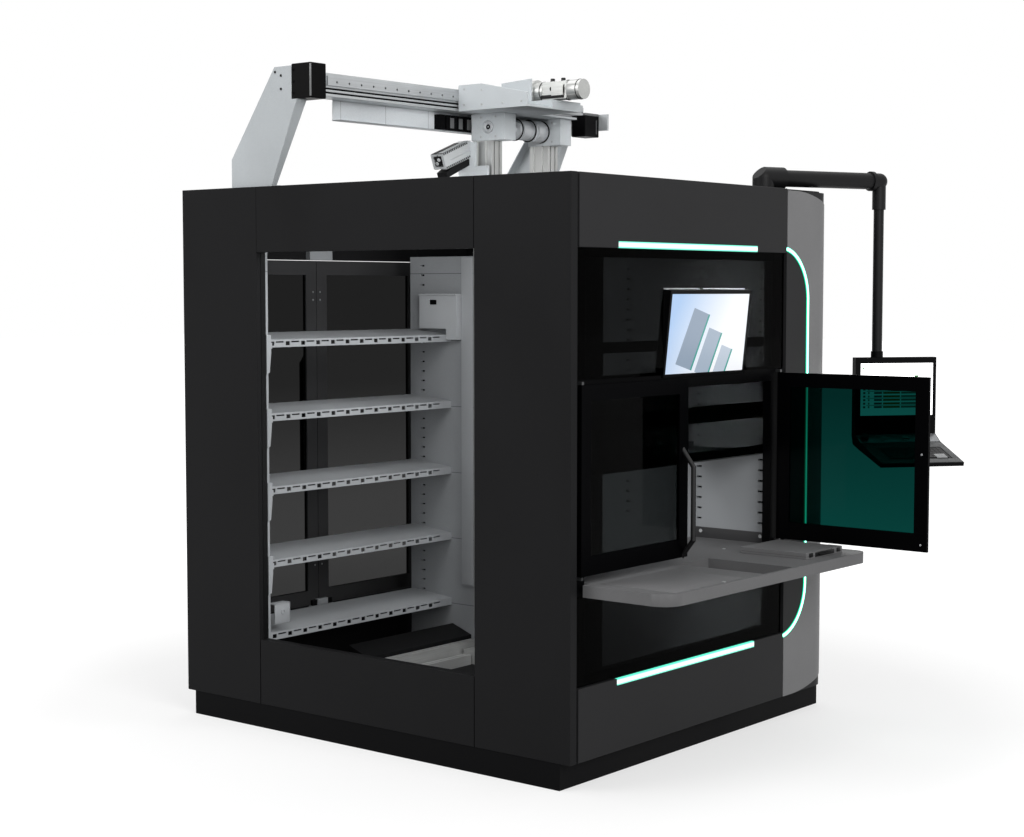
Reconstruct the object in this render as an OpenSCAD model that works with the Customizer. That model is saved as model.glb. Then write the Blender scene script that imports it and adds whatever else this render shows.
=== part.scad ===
// Storage cabinet with a lift between a front and a rear rack, an overhead
// gantry that carries the lift, an access hatch with a worktop, and an
// operator panel on a swivel arm. Millimetres, +Z up, origin at the centre of
// the plinth's underside.

/* [Cabinet] */
// Width over the side panels
body_w = 2110; // [2060:10:2250]
// Depth over the front and rear panels
body_d = 2310; // [2250:10:2450]
// Height from the floor to the top of the roof
body_h = 2500; // [2450:10:2650]
// Height of the recessed plinth
plinth_h = 112; // [90:2:140]
// Setback of the plinth behind the front panels
plinth_setback = 55; // [30:1:70]
// Thickness of the folded panels
panel_t = 25; // [20:1:30]
// Open seam between two panels
seam = 4; // [3:0.5:6]
// Thickness of the floor pan
floor_t = 20; // [15:1:25]
// Side of the square tubes of the inner frame
tube = 50; // [40:1:60]

/* [Side window] */
// Depth of the closed column in front of and behind the window
column_d = 505; // [480:5:520]
// Height of the closed band above the window and the front glass
fascia_h = 298; // [280:2:320]
// Height of the top of the closed band below the window
skirt_top = 412; // [390:2:430]
// Depth of the black lining of the window
liner_d = 30; // [24:1:32]
// Wall of the window lining
liner_t = 18; // [12:1:22]

/* [Front] */
// Width of the corner post that the side panel folds into
post_w = 45; // [35:1:55]
// Dark shadow gap beside the corner post
shadow_gap = 12; // [8:1:16]
// Width of the rounded corner cover
cover_w = 450; // [436:2:470]
// Radius of the rounded corner
corner_r = 150; // [120:5:170]
// Thickness of the light grey shield on the cover
shield_t = 3; // [2:0.5:4]
// Depth of the black front frame
frame_d = 40; // [30:1:45]
// Width of the front frame's uprights beside the glass
jamb_w = 70; // [60:1:76]
// Thickness of the fixed panes
glass_t = 10; // [8:1:12]
// Height of the light strips
light_h = 27; // [20:1:32]
// Length of the light strips
light_len = 1072; // [900:4:1200]
// Width of the light line on the corner cover
corner_light_w = 20; // [14:1:24]

/* [Hatch] */
// Height of the worktop above the floor
worktop_h = 840; // [810:5:860]
// Thickness of the worktop
worktop_t = 50; // [40:1:55]
// Reach of the worktop in front of the cabinet
worktop_reach = 425; // [350:5:450]
// Corner radius of the worktop
worktop_r = 90; // [60:5:120]
// Gap between the worktop and the hatch leaves
leaf_lift = 32; // [30:1:40]
// Distance from the head of the glass to the top of the hatch leaves
leaf_drop = 554; // [545:1:600]
// Thickness of the hatch leaves
leaf_t = 16; // [13:0.5:18]
// Width of the black border of a leaf
leaf_border = 65; // [50:1:80]
// Thickness of the panes in the leaves
pane_t = 6; // [5:0.5:8]
// Radius of the hinge pins
pin_r = 4; // [3:0.5:5]
// Diameter of the bow handles
grip_d = 22; // [18:1:25]
// Length of the hatch handle between its feet
grip_len = 450; // [380:5:480]
// Length of the rear door handle between its feet
rear_grip_len = 720; // [600:10:800]
// Stand-off of a bow handle
grip_out = 62; // [50:1:70]

/* [Display] */
// Width of the display over its bezel
display_w = 646; // [600:2:680]
// Height of the display over its bezel
display_h = 377; // [350:1:390]
// Thickness of the display
display_t = 45; // [35:1:50]
// Width of the bezel
bezel = 16; // [12:1:20]
// Forward tilt of the display in degrees
display_tilt = 6.1; // [4:0.1:8]

/* [Racks] */
// Number of shelves in the rear rack
shelf_count = 5; // [3:1:5]
// Pitch of the rear shelves
shelf_pitch = 343; // [320:1:350]
// Depth of the rear shelves
shelf_d = 262; // [240:2:280]
// Fall of a rear shelf towards the lift
shelf_fall = 27; // [15:1:35]
// Height of the toothed lip on a shelf
shelf_lip = 36; // [32:1:42]
// Pitch of the teeth in the lip
tooth_pitch = 100; // [95:1:110]
// Sheet thickness of the shelves
sheet = 4; // [3:0.5:5]
// Thickness of the slotted rack walls
rack_wall = 16; // [12:1:18]
// Pitch of the slots in the rack walls
slot_pitch = 50; // [40:5:60]
// Depth of the front shelves
front_shelf_d = 390; // [340:5:400]

/* [Gantry] */
// Height of the underside of the beam above the roof
beam_lift = 400; // [380:5:430]
// Height of the beam
beam_h = 104; // [95:1:115]
// Depth of the beam
beam_d = 110; // [100:1:115]
// Distance of the beam's front face from the cabinet's rear
beam_set = 820; // [810:5:840]
// Sheet thickness of the pillars
pillar_t = 8; // [6:0.5:10]
// Width of the folded pillars
pillar_w = 62; // [50:1:70]
// Pitch of the holes in the guide rail
rail_pitch = 80; // [60:2:100]
// Width of one lift column
lift_col_w = 80; // [70:1:90]
// Depth of one lift column
lift_col_d = 120; // [100:2:130]
// Distance between the two lift columns, centre to centre
lift_span = 450; // [420:5:455]
// Height of the lower end of the lift columns above the floor
lift_foot = 360; // [330:5:420]
// Height of the lift heads
lift_head_h = 132; // [120:1:140]
// Radius of the lift drive shaft
shaft_r = 18; // [14:1:22]

/* [Operator panel] */
// Distance from the arm's pivot to the drop tube
arm_len = 686; // [660:2:710]
// Angle of the arm to the front of the cabinet
arm_angle = -24; // [-30:1:-15]
// Radius of the arm tube
arm_r = 40; // [36:1:44]
// Radius of the drop tube
drop_r = 25; // [21:1:28]
// Width of the operator panel
console_w = 430; // [410:5:460]
// Height of the operator panel's screen housing
console_h = 322; // [300:2:340]
// Height of the top of the operator panel
console_top = 1698; // [1650:2:1750]
// Depth of the keyboard tray
tray_d = 260; // [230:5:280]

/* [Hidden] */
$fn = 64;
// Running clearance of a pin in its bore
fit = 0.05;
// Clearance between bodies that slide past each other
run = 0.5;
// Cut allowance through a face
cut = 1;

// Cabinet levels and lines, from the front left floor corner
roof_z = body_h - panel_t;
deck_z = plinth_h + floor_t;
window_head = body_h - fascia_h;
window_y1 = body_d - column_d;
cover_x = body_w - cover_w;
cover_top = body_h - 8;
front_x0 = post_w + shadow_gap;
front_x1 = cover_x - seam / 2;
frame_x1 = cover_x + 30;
frame_y1 = panel_t + frame_d;
glass_x0 = front_x0 + jamb_w;
glass_x1 = front_x1 - jamb_w - 22;
glass_bottom = skirt_top + 5;
glass_top = window_head;
sill_z = worktop_h - worktop_t;
leaf_top = window_head - leaf_drop;
leaf_bottom = worktop_h + leaf_lift;
header_z = leaf_top + 5;
header_h = 44;
upper_glass_z = leaf_top + 20;
light_mid = (front_x0 + front_x1) / 2 + 2.5;
light_d = 12;

// Hatch leaves: the axes stand inside the leaf's own thickness
axis_in = 4;
axis_y = 5;
leaf_y0 = 1;
hatch_axis_l = front_x0 + 22;
hatch_axis_r = front_x1 - 46;
leaf_w = (hatch_axis_r - hatch_axis_l + 2 * axis_in - seam) / 2;
leaf_foot = leaf_border + 15;
hinge_h = 16;
hinge_half = 7;
pin_up = 8;

// Rear doors
door_x0 = 92;
door_w = (body_w - 578) / 2;
door_t = 24;
door_border = 72;
door_bottom = skirt_top + 6;
door_top = window_head - 24;
door_axis_l = door_x0 + axis_in;
door_axis_r = door_x0 + 2 * door_w + seam - axis_in;
door_axis_y = body_d - 2 - axis_y;
door_gap = 8;
rear_grip_z = 1000;

// Racks
front_rack_x0 = front_x0 + 38;
rear_rack_x0 = panel_t + liner_d + 23;
rear_rack_x1 = body_w - 730;
front_rack_x1 = front_x1 - 53;
shelf_back = body_d - 220;
shelf_front = shelf_back - shelf_d;
rack_y0 = shelf_front - 155;
rack_y1 = shelf_back + 20;
shelf_top_z = window_head - 375;
rack_top = window_head;
front_rack_y0 = frame_y1 + 7;
front_rack_y1 = body_d - beam_set - 470;
front_shelf_y0 = frame_y1 + 25;

// Lift and gantry
beam_z = body_h + beam_lift;
beam_y = body_d - beam_set;
beam_x0 = 128;
beam_x1 = body_w - 50;
beam_back = beam_y + beam_d;
rail_t = 12;
carriage_y1 = beam_y - rail_t - run;
lift_x = body_w - 905;
carriage_x0 = lift_x - 170;
carriage_x1 = lift_x + 250;
carriage_y0 = beam_y - 440;
deck_t = 10;
carriage_z = beam_z - 3;
head_z = carriage_z - lift_head_h;
head_y0 = beam_y - 165;
head_d = 210;
head_w = lift_col_w + 10;
lift_y = head_y0 + 83;
shaft_y = head_y0 + 102;
shaft_z = head_z + lift_head_h / 2;
slot_x0 = 240;
slot_x1 = body_w - 160;
slot_y0 = beam_y - 455;
slot_y1 = beam_y + 170;
pillar_x = 30;
pillar_rear = beam_back + 398;
tray_drop = 95;
lift_car_z0 = body_h - 200;
lift_car_z1 = body_h + 150;
lift_plate = 14;
lift_arm_set = 107;
lift_arm_w = 80;
lift_car_x0 = lift_x - 20;
lift_car_x1 = lift_x + lift_span + lift_col_w + 20;

// Operator panel, worked out in the arm's own frame
arm_x = body_w - 340;
arm_y = 200;
arm_z = body_h + 62;
flange_t = 12;
console_off = 95;
console_turn = -14;
console_x0 = console_off - console_w / 2;
console_back = 40;
strip_drop = 36;
strip_run = 60;
chin_h = 60;
strip_top = console_top - console_h - chin_h;
strip_low = strip_top - strip_drop;
tray_fall = 80;
strip_angle = atan2(strip_drop, strip_run);
tray_angle = atan2(tray_fall, tray_d);
control_x = [-82, 18, 135];
stem_r = 8;
stem_gap = 0.3;

// Moves children from the front left floor corner to the origin's frame
module datum() {
    translate([-body_w / 2, -body_d / 2, 0]) children();
}

// A block between two values on each axis
module slab(x, y, z) {
    translate([x[0], y[0], z[0]]) cube([x[1] - x[0], y[1] - y[0], z[1] - z[0]]);
}

// Stands an outline drawn in X and Z upright, from y0 to y1
module upright(y0, y1) {
    translate([0, y1, 0]) rotate([90, 0, 0]) linear_extrude(y1 - y0) children();
}

// Lays an outline drawn in Y and Z along X, from x0 to x1
module along_x(x0, x1) {
    translate([x0, 0, 0]) rotate([90, 0, 90]) linear_extrude(x1 - x0) children();
}

// Plan of the cabinet set in by a margin, with its rounded front corner
module plan(margin) {
    r = corner_r - margin;
    difference() {
        translate([margin, margin]) square([body_w - 2 * margin, body_d - 2 * margin]);
        translate([body_w - corner_r, margin - cut]) difference() {
            square([corner_r - margin + cut, r + cut]);
            translate([0, r + cut]) circle(r);
        }
    }
}

// Ring frame of a leaf with a pin at each end, drawn from its axis towards +X
module leaf_frame(w, z0, z1, y0, t, border, foot, pin_y) {
    difference() {
        slab([-axis_in, w - axis_in], [y0, y0 + t], [z0, z1]);
        slab([border - axis_in, w - axis_in - border], [y0 - cut, y0 + t + cut], [z0 + foot, z1 - border]);
    }
    for (z = [z0 - pin_up, z1 - cut])
        translate([0, pin_y, z]) cylinder(h = pin_up + cut, r = pin_r);
}

// Pane that fills a leaf frame
module leaf_pane(w, z0, z1, y_mid, border, foot) {
    slab([border - axis_in, w - axis_in - border], [y_mid - pane_t / 2, y_mid + pane_t / 2],
        [z0 + foot, z1 - border]);
}

// Bow handle with slanted legs, standing off towards -Y
module bow_handle(len, out) {
    grip_r = grip_d / 2;
    leg = out - grip_r;
    slant = leg * 1.3;
    translate([0, -leg, slant]) cylinder(h = len - 2 * slant, r = grip_r);
    for (side = [0, 1]) translate([0, 0, side * len]) mirror([0, 0, side]) {
        translate([0, -leg, slant]) sphere(grip_r + 0.5);
        difference() {
            rotate([atan2(leg, slant), 0, 0]) translate([0, 0, -slant])
                cylinder(h = slant + norm([leg, slant]), r = grip_r - 0.2);
            slab([-grip_d, grip_d], [0, slant], [-2 * slant, slant]);
        }
    }
}

module plinth() {
    wall = 60;
    inset_r = 35;
    color("#202021") datum() difference() {
        slab([3, body_w - inset_r], [plinth_setback, body_d - 48], [0, plinth_h]);
        for (half = [0, 1])
            slab([3 + wall, body_w - inset_r - wall],
                [half * body_d / 2 + (half ? wall : plinth_setback + wall),
                    half ? body_d - 48 - wall : body_d / 2 - wall], [-cut, plinth_h + cut]);
    }
}

module floor_pan() {
    color("#161617") datum() translate([0, 0, plinth_h]) linear_extrude(floor_t) plan(panel_t);
}

module inner_frame() {
    x_r = body_w - panel_t - tube;
    y_r = body_d - panel_t - tube;
    z_t = roof_z - tube;
    right_post_y = corner_r + 30;
    color("#1b1b1c") datum() {
        for (x = [panel_t, frame_x1 - tube])
            slab([x, x + tube], [frame_y1, frame_y1 + tube], [deck_z, roof_z]);
        slab([x_r, x_r + tube], [right_post_y, right_post_y + tube], [deck_z, roof_z]);
        for (x = [panel_t, x_r]) {
            slab([x, x + tube], [y_r, y_r + tube], [deck_z, roof_z]);
            slab([x, x + tube], [x == panel_t ? frame_y1 : right_post_y, y_r + tube], [z_t, roof_z]);
        }
        slab([panel_t, frame_x1], [frame_y1, frame_y1 + tube], [z_t, roof_z]);
        slab([panel_t, x_r + tube], [y_r, y_r + tube], [z_t, roof_z]);
    }
}

module roof_panel() {
    color("#2b2b2c") datum() difference() {
        translate([0, 0, roof_z]) linear_extrude(panel_t) plan(panel_t);
        slab([slot_x0, slot_x1], [slot_y0, slot_y1], [roof_z - cut, body_h + cut]);
    }
}

module left_front_panel() {
    color("#262627") datum() {
        slab([0, panel_t], [0, column_d - seam / 2], [plinth_h, body_h]);
        slab([0, post_w], [0, panel_t], [plinth_h, body_h]);
    }
}

module left_rear_panel() {
    color("#262627") datum() {
        slab([0, panel_t], [window_y1 + seam / 2, body_d], [plinth_h, body_h]);
        slab([0, door_axis_l - door_gap], [body_d - panel_t, body_d], [plinth_h, body_h]);
    }
}

module left_cross_panels() {
    y = [column_d + seam / 2, window_y1 - seam / 2];
    color("#262627") datum() {
        slab([0, panel_t], [y[0], window_y1 + seam / 2 - 0.6], [window_head, body_h]);
        slab([0, panel_t], y, [plinth_h, skirt_top]);
    }
}

module window_liner() {
    color("#0c0c0d") datum() difference() {
        slab([panel_t, panel_t + liner_d], [column_d - liner_t, window_y1 + liner_t],
            [skirt_top - liner_t, window_head + liner_t]);
        slab([panel_t - cut, panel_t + liner_d + cut], [column_d, window_y1], [skirt_top, window_head]);
    }
}

module right_side_panels() {
    lines = [corner_r, column_d, window_y1, body_d];
    color("#262627") datum() {
        for (i = [0:2])
            slab([body_w - panel_t, body_w],
                [lines[i] + seam / 2, lines[i + 1] - (i < 2 ? seam / 2 : 0)], [plinth_h, body_h]);
    }
}

module rear_surround() {
    x0 = door_axis_l - door_gap + seam;
    x1 = door_axis_r + door_gap;
    y = [body_d - panel_t, body_d];
    color("#232324") datum() {
        slab([x1, body_w - panel_t - seam / 2], y, [plinth_h, body_h]);
        difference() {
            union() {
                slab([x0, x1 - seam], y, [door_top + 3, body_h]);
                slab([x0, x1 - seam], y, [plinth_h, door_bottom - 3]);
            }
            for (x = [door_axis_l, door_axis_r])
                slab([x - hinge_half + 3, x + hinge_half], [y[0] - cut, y[1] + cut],
                    [door_bottom - hinge_h - 4, door_top + hinge_h + 4]);
        }
    }
}

module rear_leaf() {
    leaf_frame(door_w, door_bottom, door_top, axis_y - door_t, door_t, door_border, door_border, 0);
}

module rear_door_left() {
    color("#3a3a3b") datum() translate([door_axis_l, door_axis_y, 0]) rear_leaf();
}

module rear_door_right() {
    color("#3a3a3b") datum() translate([door_axis_r, door_axis_y, 0]) mirror([1, 0, 0]) rear_leaf();
}

module rear_pane() {
    leaf_pane(door_w, door_bottom, door_top, axis_y - door_t / 2, door_border, door_border);
}

module rear_pane_left() {
    color("#302f2d") datum() translate([door_axis_l, door_axis_y, 0]) rear_pane();
}

module rear_pane_right() {
    color("#302f2d") datum() translate([door_axis_r, door_axis_y, 0]) mirror([1, 0, 0]) rear_pane();
}

module rear_handle() {
    color("#0d0d0d") datum()
        translate([door_x0 + door_w - door_border / 2, door_axis_y + axis_y, rear_grip_z])
            mirror([0, 1, 0]) bow_handle(rear_grip_len, grip_out);
}

// Hinge brackets of the hatch and of the rear doors, with a bore for each pin
module door_hinges() {
    plate = hinge_h - 4;
    half = hinge_half;
    color("#8e9092") datum() {
        for (x = [hatch_axis_l, hatch_axis_r], z = [leaf_bottom - 2 - plate, leaf_top + 2])
            difference() {
                slab([x - half, x + half], [axis_y - half, panel_t], [z, z + plate]);
                translate([x, axis_y, z - cut]) cylinder(h = plate + 2 * cut, r = pin_r + fit);
            }
        for (x = [door_axis_l, door_axis_r], top = [0, 1]) {
            z = top ? door_top + 2 : door_bottom - 2 - plate;
            z_far = top ? door_top + hinge_h + 4 : door_bottom - hinge_h - 4;
            difference() {
                slab([x - half + 3, x + half], [door_axis_y - 16, door_axis_y + 6],
                    top ? [z, z_far] : [z_far, z + plate]);
                translate([x, door_axis_y, min(z, z_far) - cut])
                    cylinder(h = plate + 8 + 2 * cut, r = pin_r + fit);
            }
        }
    }
}

// Safety switches on the rear wall, above and below the meeting stiles
module door_switches() {
    x_mid = door_x0 + door_w;
    color("#a4a8aa") datum() {
        for (top = [0, 1]) {
            z = top ? door_top + hinge_h + 6 : door_bottom - hinge_h - 6;
            slab([x_mid - 70, x_mid + 90], [body_d - panel_t - 30, body_d - panel_t],
                top ? [z - 18, z + 42] : [z - 40, z + 18]);
        }
    }
}

module front_frame() {
    x = [glass_x0, glass_x1];
    y = [panel_t - cut, frame_y1 + cut];
    color("#0b0b0c") datum() difference() {
        slab([panel_t, frame_x1], [panel_t, frame_y1], [deck_z, roof_z]);
        slab(x, y, [glass_bottom + 45, sill_z - 30]);
        slab(x, y, [sill_z, header_z - header_h]);
        slab(x, y, [upper_glass_z + 10, glass_top - 38]);
        slab([display_x - display_w / 2 - 8, display_x + display_w / 2 + 8], y,
            [header_z, upper_glass_z + 10 + cut]);
    }
}

module front_panels() {
    x = [front_x0, front_x1];
    color("#303031") datum() difference() {
        union() {
            slab(x, [0, panel_t], [glass_top, body_h]);
            slab(x, [0, panel_t], [plinth_h, glass_bottom]);
        }
        slab([light_mid - light_len / 2, light_mid + light_len / 2], [-cut, light_d],
            [glass_bottom - light_h, glass_top + light_h]);
    }
}

module light_strips() {
    color("#e8fff6") datum()
        for (z = [glass_top, glass_bottom - light_h])
            slab([light_mid - light_len / 2, light_mid + light_len / 2], [-2, light_d], [z, z + light_h]);
}

// Outline in X and Z of the field that the corner light goes round
light_arc_r = 240;
light_x = cover_x + 195 - light_arc_r;
light_z0 = skirt_top + 228;
light_z1 = window_head - 218;
module light_field(grow) {
    translate([light_x, light_z0]) square([light_arc_r + grow, light_z1 - light_z0]);
    for (z = [light_z0, light_z1]) translate([light_x, z]) circle(light_arc_r + grow);
}

// Closed shell of the corner between two margins, seen in plan
module corner_shell(outer, inner) {
    intersection() {
        difference() {
            plan(outer);
            plan(inner);
        }
        translate([cover_x + seam / 2, -cut]) square([cover_w, corner_r - seam / 2 + cut]);
    }
}

module corner_light_band(y0, y1) {
    intersection() {
        upright(y0, y1) difference() {
            light_field(corner_light_w / 2);
            light_field(-corner_light_w / 2);
        }
        slab([cover_x + seam / 2, body_w], [y0, y1], [0, body_h]);
    }
}

module corner_cover() {
    color("#333334") datum() difference() {
        translate([0, 0, plinth_h]) linear_extrude(cover_top - plinth_h) corner_shell(shield_t, panel_t);
        corner_light_band(-cut, 12);
    }
}

// Light grey shield: everything outside the light, inside two large arcs
module corner_shield() {
    sweep_r = 790;
    sweep_x = cover_x + 75;
    color("#7b7b7c") datum() intersection() {
        translate([0, 0, plinth_h]) linear_extrude(cover_top - plinth_h) corner_shell(0, shield_t);
        upright(-cut, corner_r) difference() {
            union() {
                translate([cover_x, plinth_h]) square([sweep_x - cover_x, cover_top - plinth_h]);
                translate([sweep_x - cut, plinth_h + sweep_r])
                    square([sweep_r, cover_top - plinth_h - 2 * sweep_r]);
                for (z = [plinth_h + sweep_r, cover_top - sweep_r]) translate([sweep_x, z]) circle(sweep_r);
            }
            light_field(corner_light_w / 2);
        }
    }
}

module corner_light() {
    color("#d8fff0") datum() corner_light_band(-1, 12);
}

module fixed_glass() {
    x = [front_x0 + 3, front_x1 - 3];
    y = [panel_t - glass_t, panel_t];
    gap = 8;
    color("#08090a") datum() {
        slab(x, y, [glass_bottom + 3, sill_z - 3]);
        slab([front_rack_x0 + 8, front_rack_x1 - 8], [frame_y1 + 0.5, frame_y1 + 6],
            [worktop_h + 432, leaf_top - 8]);
        difference() {
            slab(x, y, [upper_glass_z, glass_top - 3]);
            slab([display_x - display_w / 2 - gap, display_x + display_w / 2 + gap],
                [y[0] - cut, y[1] + cut], [upper_glass_z - cut, display_z + display_h + gap]);
        }
    }
}

// Places a leaf of the hatch at its axis, drawn closed towards +X
module hatch_left_frame() {
    color("#060607") datum() translate([hatch_axis_l, 0, 0])
        leaf_frame(leaf_w, leaf_bottom, leaf_top, leaf_y0, leaf_t, leaf_border, leaf_foot, axis_y);
}

module hatch_left_pane() {
    color("#0b1413") datum() translate([hatch_axis_l, 0, 0])
        leaf_pane(leaf_w, leaf_bottom, leaf_top, leaf_y0 + leaf_t / 2, leaf_border, leaf_foot);
}

module hatch_handle() {
    color("#1c1c1d") datum()
        translate([hatch_axis_l + leaf_w - axis_in - leaf_border / 2, leaf_y0, leaf_bottom + 12])
            bow_handle(grip_len, grip_out);
}

// The right leaf stands open, square to the front
module open_leaf() {
    translate([hatch_axis_r, axis_y, 0]) rotate([0, 0, 90]) translate([0, -axis_y, 0])
        mirror([1, 0, 0]) children();
}

module hatch_right_frame() {
    color("#060607") datum() open_leaf()
        leaf_frame(leaf_w, leaf_bottom, leaf_top, leaf_y0, leaf_t, leaf_border, leaf_foot, axis_y);
}

module hatch_right_pane() {
    color("#0a3a36") datum() open_leaf()
        leaf_pane(leaf_w, leaf_bottom, leaf_top, leaf_y0 + leaf_t / 2, leaf_border, leaf_foot);
}

display_x = front_x1 - 657;
display_z = header_z + run;
// Places the display's lower front edge and tilts its top towards the operator
module display_seat() {
    translate([display_x - display_w / 2, panel_t - 3, display_z]) rotate([display_tilt, 0, 0]) children();
}

module display_housing() {
    color("#050506") datum() display_seat() difference() {
        cube([display_w, display_t, display_h]);
        slab([bezel, display_w - bezel], [-cut, 4], [bezel, display_h - bezel]);
    }
}

module display_screen() {
    color("#dfe9f5") datum() display_seat()
        slab([bezel, display_w - bezel], [1, 4], [bezel, display_h - bezel]);
}

// Worktop: one plate that runs from inside the niche out to the operator
worktop_x0 = front_x0 + 24;
worktop_x1 = cover_x + 28;
niche_y1 = front_shelf_y0 + front_shelf_d;
hatch_mid = (hatch_axis_l + hatch_axis_r) / 2;
recess_x = [hatch_mid - 45.5, hatch_mid + 194.5];
recess_y = [-worktop_reach + 14, panel_t - 5];
recess_h = 44;
upstand_t = 8;
upstand_h = 53;

// What a rounding of radius r takes off a corner, drawn at the corner
module corner_waste(r) {
    translate([-cut, -cut]) difference() {
        square([r + cut, r + cut]);
        translate([r + cut, r + cut]) circle(r);
    }
}

module worktop() {
    color("#707071") datum() {
        difference() {
            translate([0, 0, sill_z]) linear_extrude(worktop_t) {
                difference() {
                    translate([worktop_x0, -worktop_reach])
                        square([worktop_x1 - worktop_x0, worktop_reach - 2]);
                    translate([worktop_x0, -worktop_reach]) corner_waste(worktop_r);
                    translate([worktop_x1, -worktop_reach]) mirror([1, 0]) corner_waste(worktop_r * 2 / 3);
                }
                translate([glass_x0, -2 - cut]) square([glass_x1 - glass_x0, frame_y1 + 2 + 2 * cut]);
                translate([front_rack_x0, frame_y1])
                    square([front_rack_x1 - front_rack_x0, niche_y1 - frame_y1]);
            }
            upright(recess_y[0], recess_y[1]) polygon([
                [recess_x[0], worktop_h], [recess_x[0], worktop_h + cut],
                [recess_x[1], worktop_h + cut], [recess_x[1], worktop_h - recess_h],
                [recess_x[0] + 40, worktop_h - recess_h]]);
        }
        slab([front_rack_x1 - upstand_t, front_rack_x1], [front_rack_y0, niche_y1 - 10],
            [worktop_h - cut, worktop_h + upstand_h]);
    }
}

// Flat case on the worktop, low enough for the hatch leaf to pass over it
module parts_case() {
    case_h = leaf_lift - 3;
    case_x = hatch_axis_r - 342;
    size = [320, 340];
    color("#787878") datum() translate([case_x, -size[1] - 5, worktop_h]) difference() {
        cube([size[0], size[1], case_h]);
        slab([90, size[0] - 90], [-cut, 8], [case_h - 16, case_h + cut]);
        slab([size[0] - 8, size[0] + cut], [70, size[1] - 70], [case_h - 16, case_h + cut]);
    }
}

// Slots of a rack wall, in rows along its height
module wall_slots(x, rows, z0, z1) {
    for (y = rows, z = [z0:slot_pitch:z1])
        slab([x - cut, x + rack_wall + cut], [y - 14, y + 14], [z, z + 9]);
}

module rack_walls() {
    color("#94979a") datum() {
        difference() {
            slab([front_rack_x1, front_rack_x1 + rack_wall], [front_rack_y0, front_rack_y1],
                [deck_z, rack_top]);
            wall_slots(front_rack_x1, [front_rack_y0 + 28, front_rack_y0 + 370, front_rack_y0 + 790],
                worktop_h + 90, rack_top - slot_pitch);
        }
        slab([front_rack_x0 - rack_wall, front_rack_x0], [frame_y1 + tube + 10, column_d - 40],
            [deck_z, rack_top]);
        slab([rear_rack_x0 - rack_wall, rear_rack_x0], [shelf_front - 12, rack_y1], [deck_z, rack_top]);
        difference() {
            slab([rear_rack_x1, rear_rack_x1 + rack_wall], [rack_y0, rack_y1], [deck_z, rack_top]);
            wall_slots(rear_rack_x1, [rack_y1 - 85], skirt_top + 40, rack_top - slot_pitch);
        }
        slab([rear_rack_x1 - 8, rear_rack_x1], [rack_y0, rack_y0 + 78], [skirt_top + 90, rack_top]);
    }
}

module front_shelves() {
    levels = [[worktop_h + 437, 30], [worktop_h + 597, 74], [worktop_h + 927, 45]];
    x = [front_rack_x0, front_rack_x1];
    y1 = front_shelf_y0 + front_shelf_d;
    color("#6f7275") datum() for (level = levels) {
        slab(x, [front_shelf_y0, y1], [level[0], level[0] + sheet]);
        slab(x, [front_shelf_y0, front_shelf_y0 + sheet], [level[0], level[0] + level[1]]);
        slab(x, [y1 - sheet, y1], [level[0], level[0] + 28]);
    }
}

// One sloping shelf with a toothed lip, drawn at its back edge
module rear_shelf() {
    teeth = floor((rear_rack_x1 - rear_rack_x0 - 40) / tooth_pitch);
    angle = atan2(shelf_fall, shelf_d);
    difference() {
        along_x(rear_rack_x0, rear_rack_x1) polygon([
            [0, 0], [0, -sheet], [-shelf_d + sheet, -shelf_fall - sheet],
            [-shelf_d + sheet, -shelf_fall - shelf_lip], [-shelf_d, -shelf_fall - shelf_lip],
            [-shelf_d, -shelf_fall]]);
        for (i = [0:teeth - 1]) translate([rear_rack_x0 + 24 + i * tooth_pitch, 0, -shelf_fall]) {
            slab([0, 27], [-shelf_d - cut, -shelf_d + sheet + cut], [-28, -9]);
            slab([36, 88], [-shelf_d - cut, -shelf_d + sheet + cut], [-15, -8]);
        }
    }
}

module rear_shelves() {
    color("#9a9da0") datum() for (i = [0:shelf_count - 1])
        translate([0, shelf_back, shelf_top_z - i * shelf_pitch]) rear_shelf();
}

module lock_box() {
    box_d = 42;
    y = [shelf_front - 75, shelf_back - 80];
    z = [shelf_top_z + 4, shelf_top_z + 175];
    mid = (y[0] + y[1]) / 2;
    color("#8f9295") datum() {
        difference() {
            slab([rear_rack_x1 - box_d, rear_rack_x1], y, z);
            slab([rear_rack_x1 - box_d - cut, rear_rack_x1 - box_d + 14], [mid + 10, mid + 60],
                [z[1] - 48, z[1] - 22]);
        }
        slab([rear_rack_x1 - box_d, rear_rack_x1], [y[0], shelf_front - 2], [z[0] - 56, z[0]]);
        slab([rear_rack_x1 - box_d - 8, rear_rack_x1], y, [z[1], z[1] + 8]);
    }
}

module floor_ramp() {
    color("#101011") datum() along_x(rear_rack_x1 - 780, rear_rack_x1 - 2) polygon([
        [shelf_front - 10, deck_z], [shelf_front - 10, deck_z + 164],
        [shelf_front - 137, deck_z + 118], [shelf_front - 137, deck_z]]);
}

// Slotted aluminium profiles along the lift's path on the floor, and the drive box
module floor_rails() {
    rail_x0 = rear_rack_x1 - 960;
    color("#aeb0b0") datum() {
        for (k = [0, 1]) difference() {
            slab([rail_x0, rear_rack_x1 - 20 - 130 * k],
                [shelf_front - 190 - 70 * k, shelf_front - 145 - 70 * k], [deck_z, deck_z + 100 - 50 * k]);
            slab([rail_x0 - cut, rear_rack_x1], [shelf_front - 172 - 70 * k, shelf_front - 163 - 70 * k],
                [deck_z + 92 - 50 * k, deck_z + 101 - 50 * k]);
        }
        slab([rear_rack_x1 - 140, rear_rack_x1 - 10], [shelf_front - 300, shelf_front - 200],
            [deck_z, deck_z + 70]);
    }
}

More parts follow.
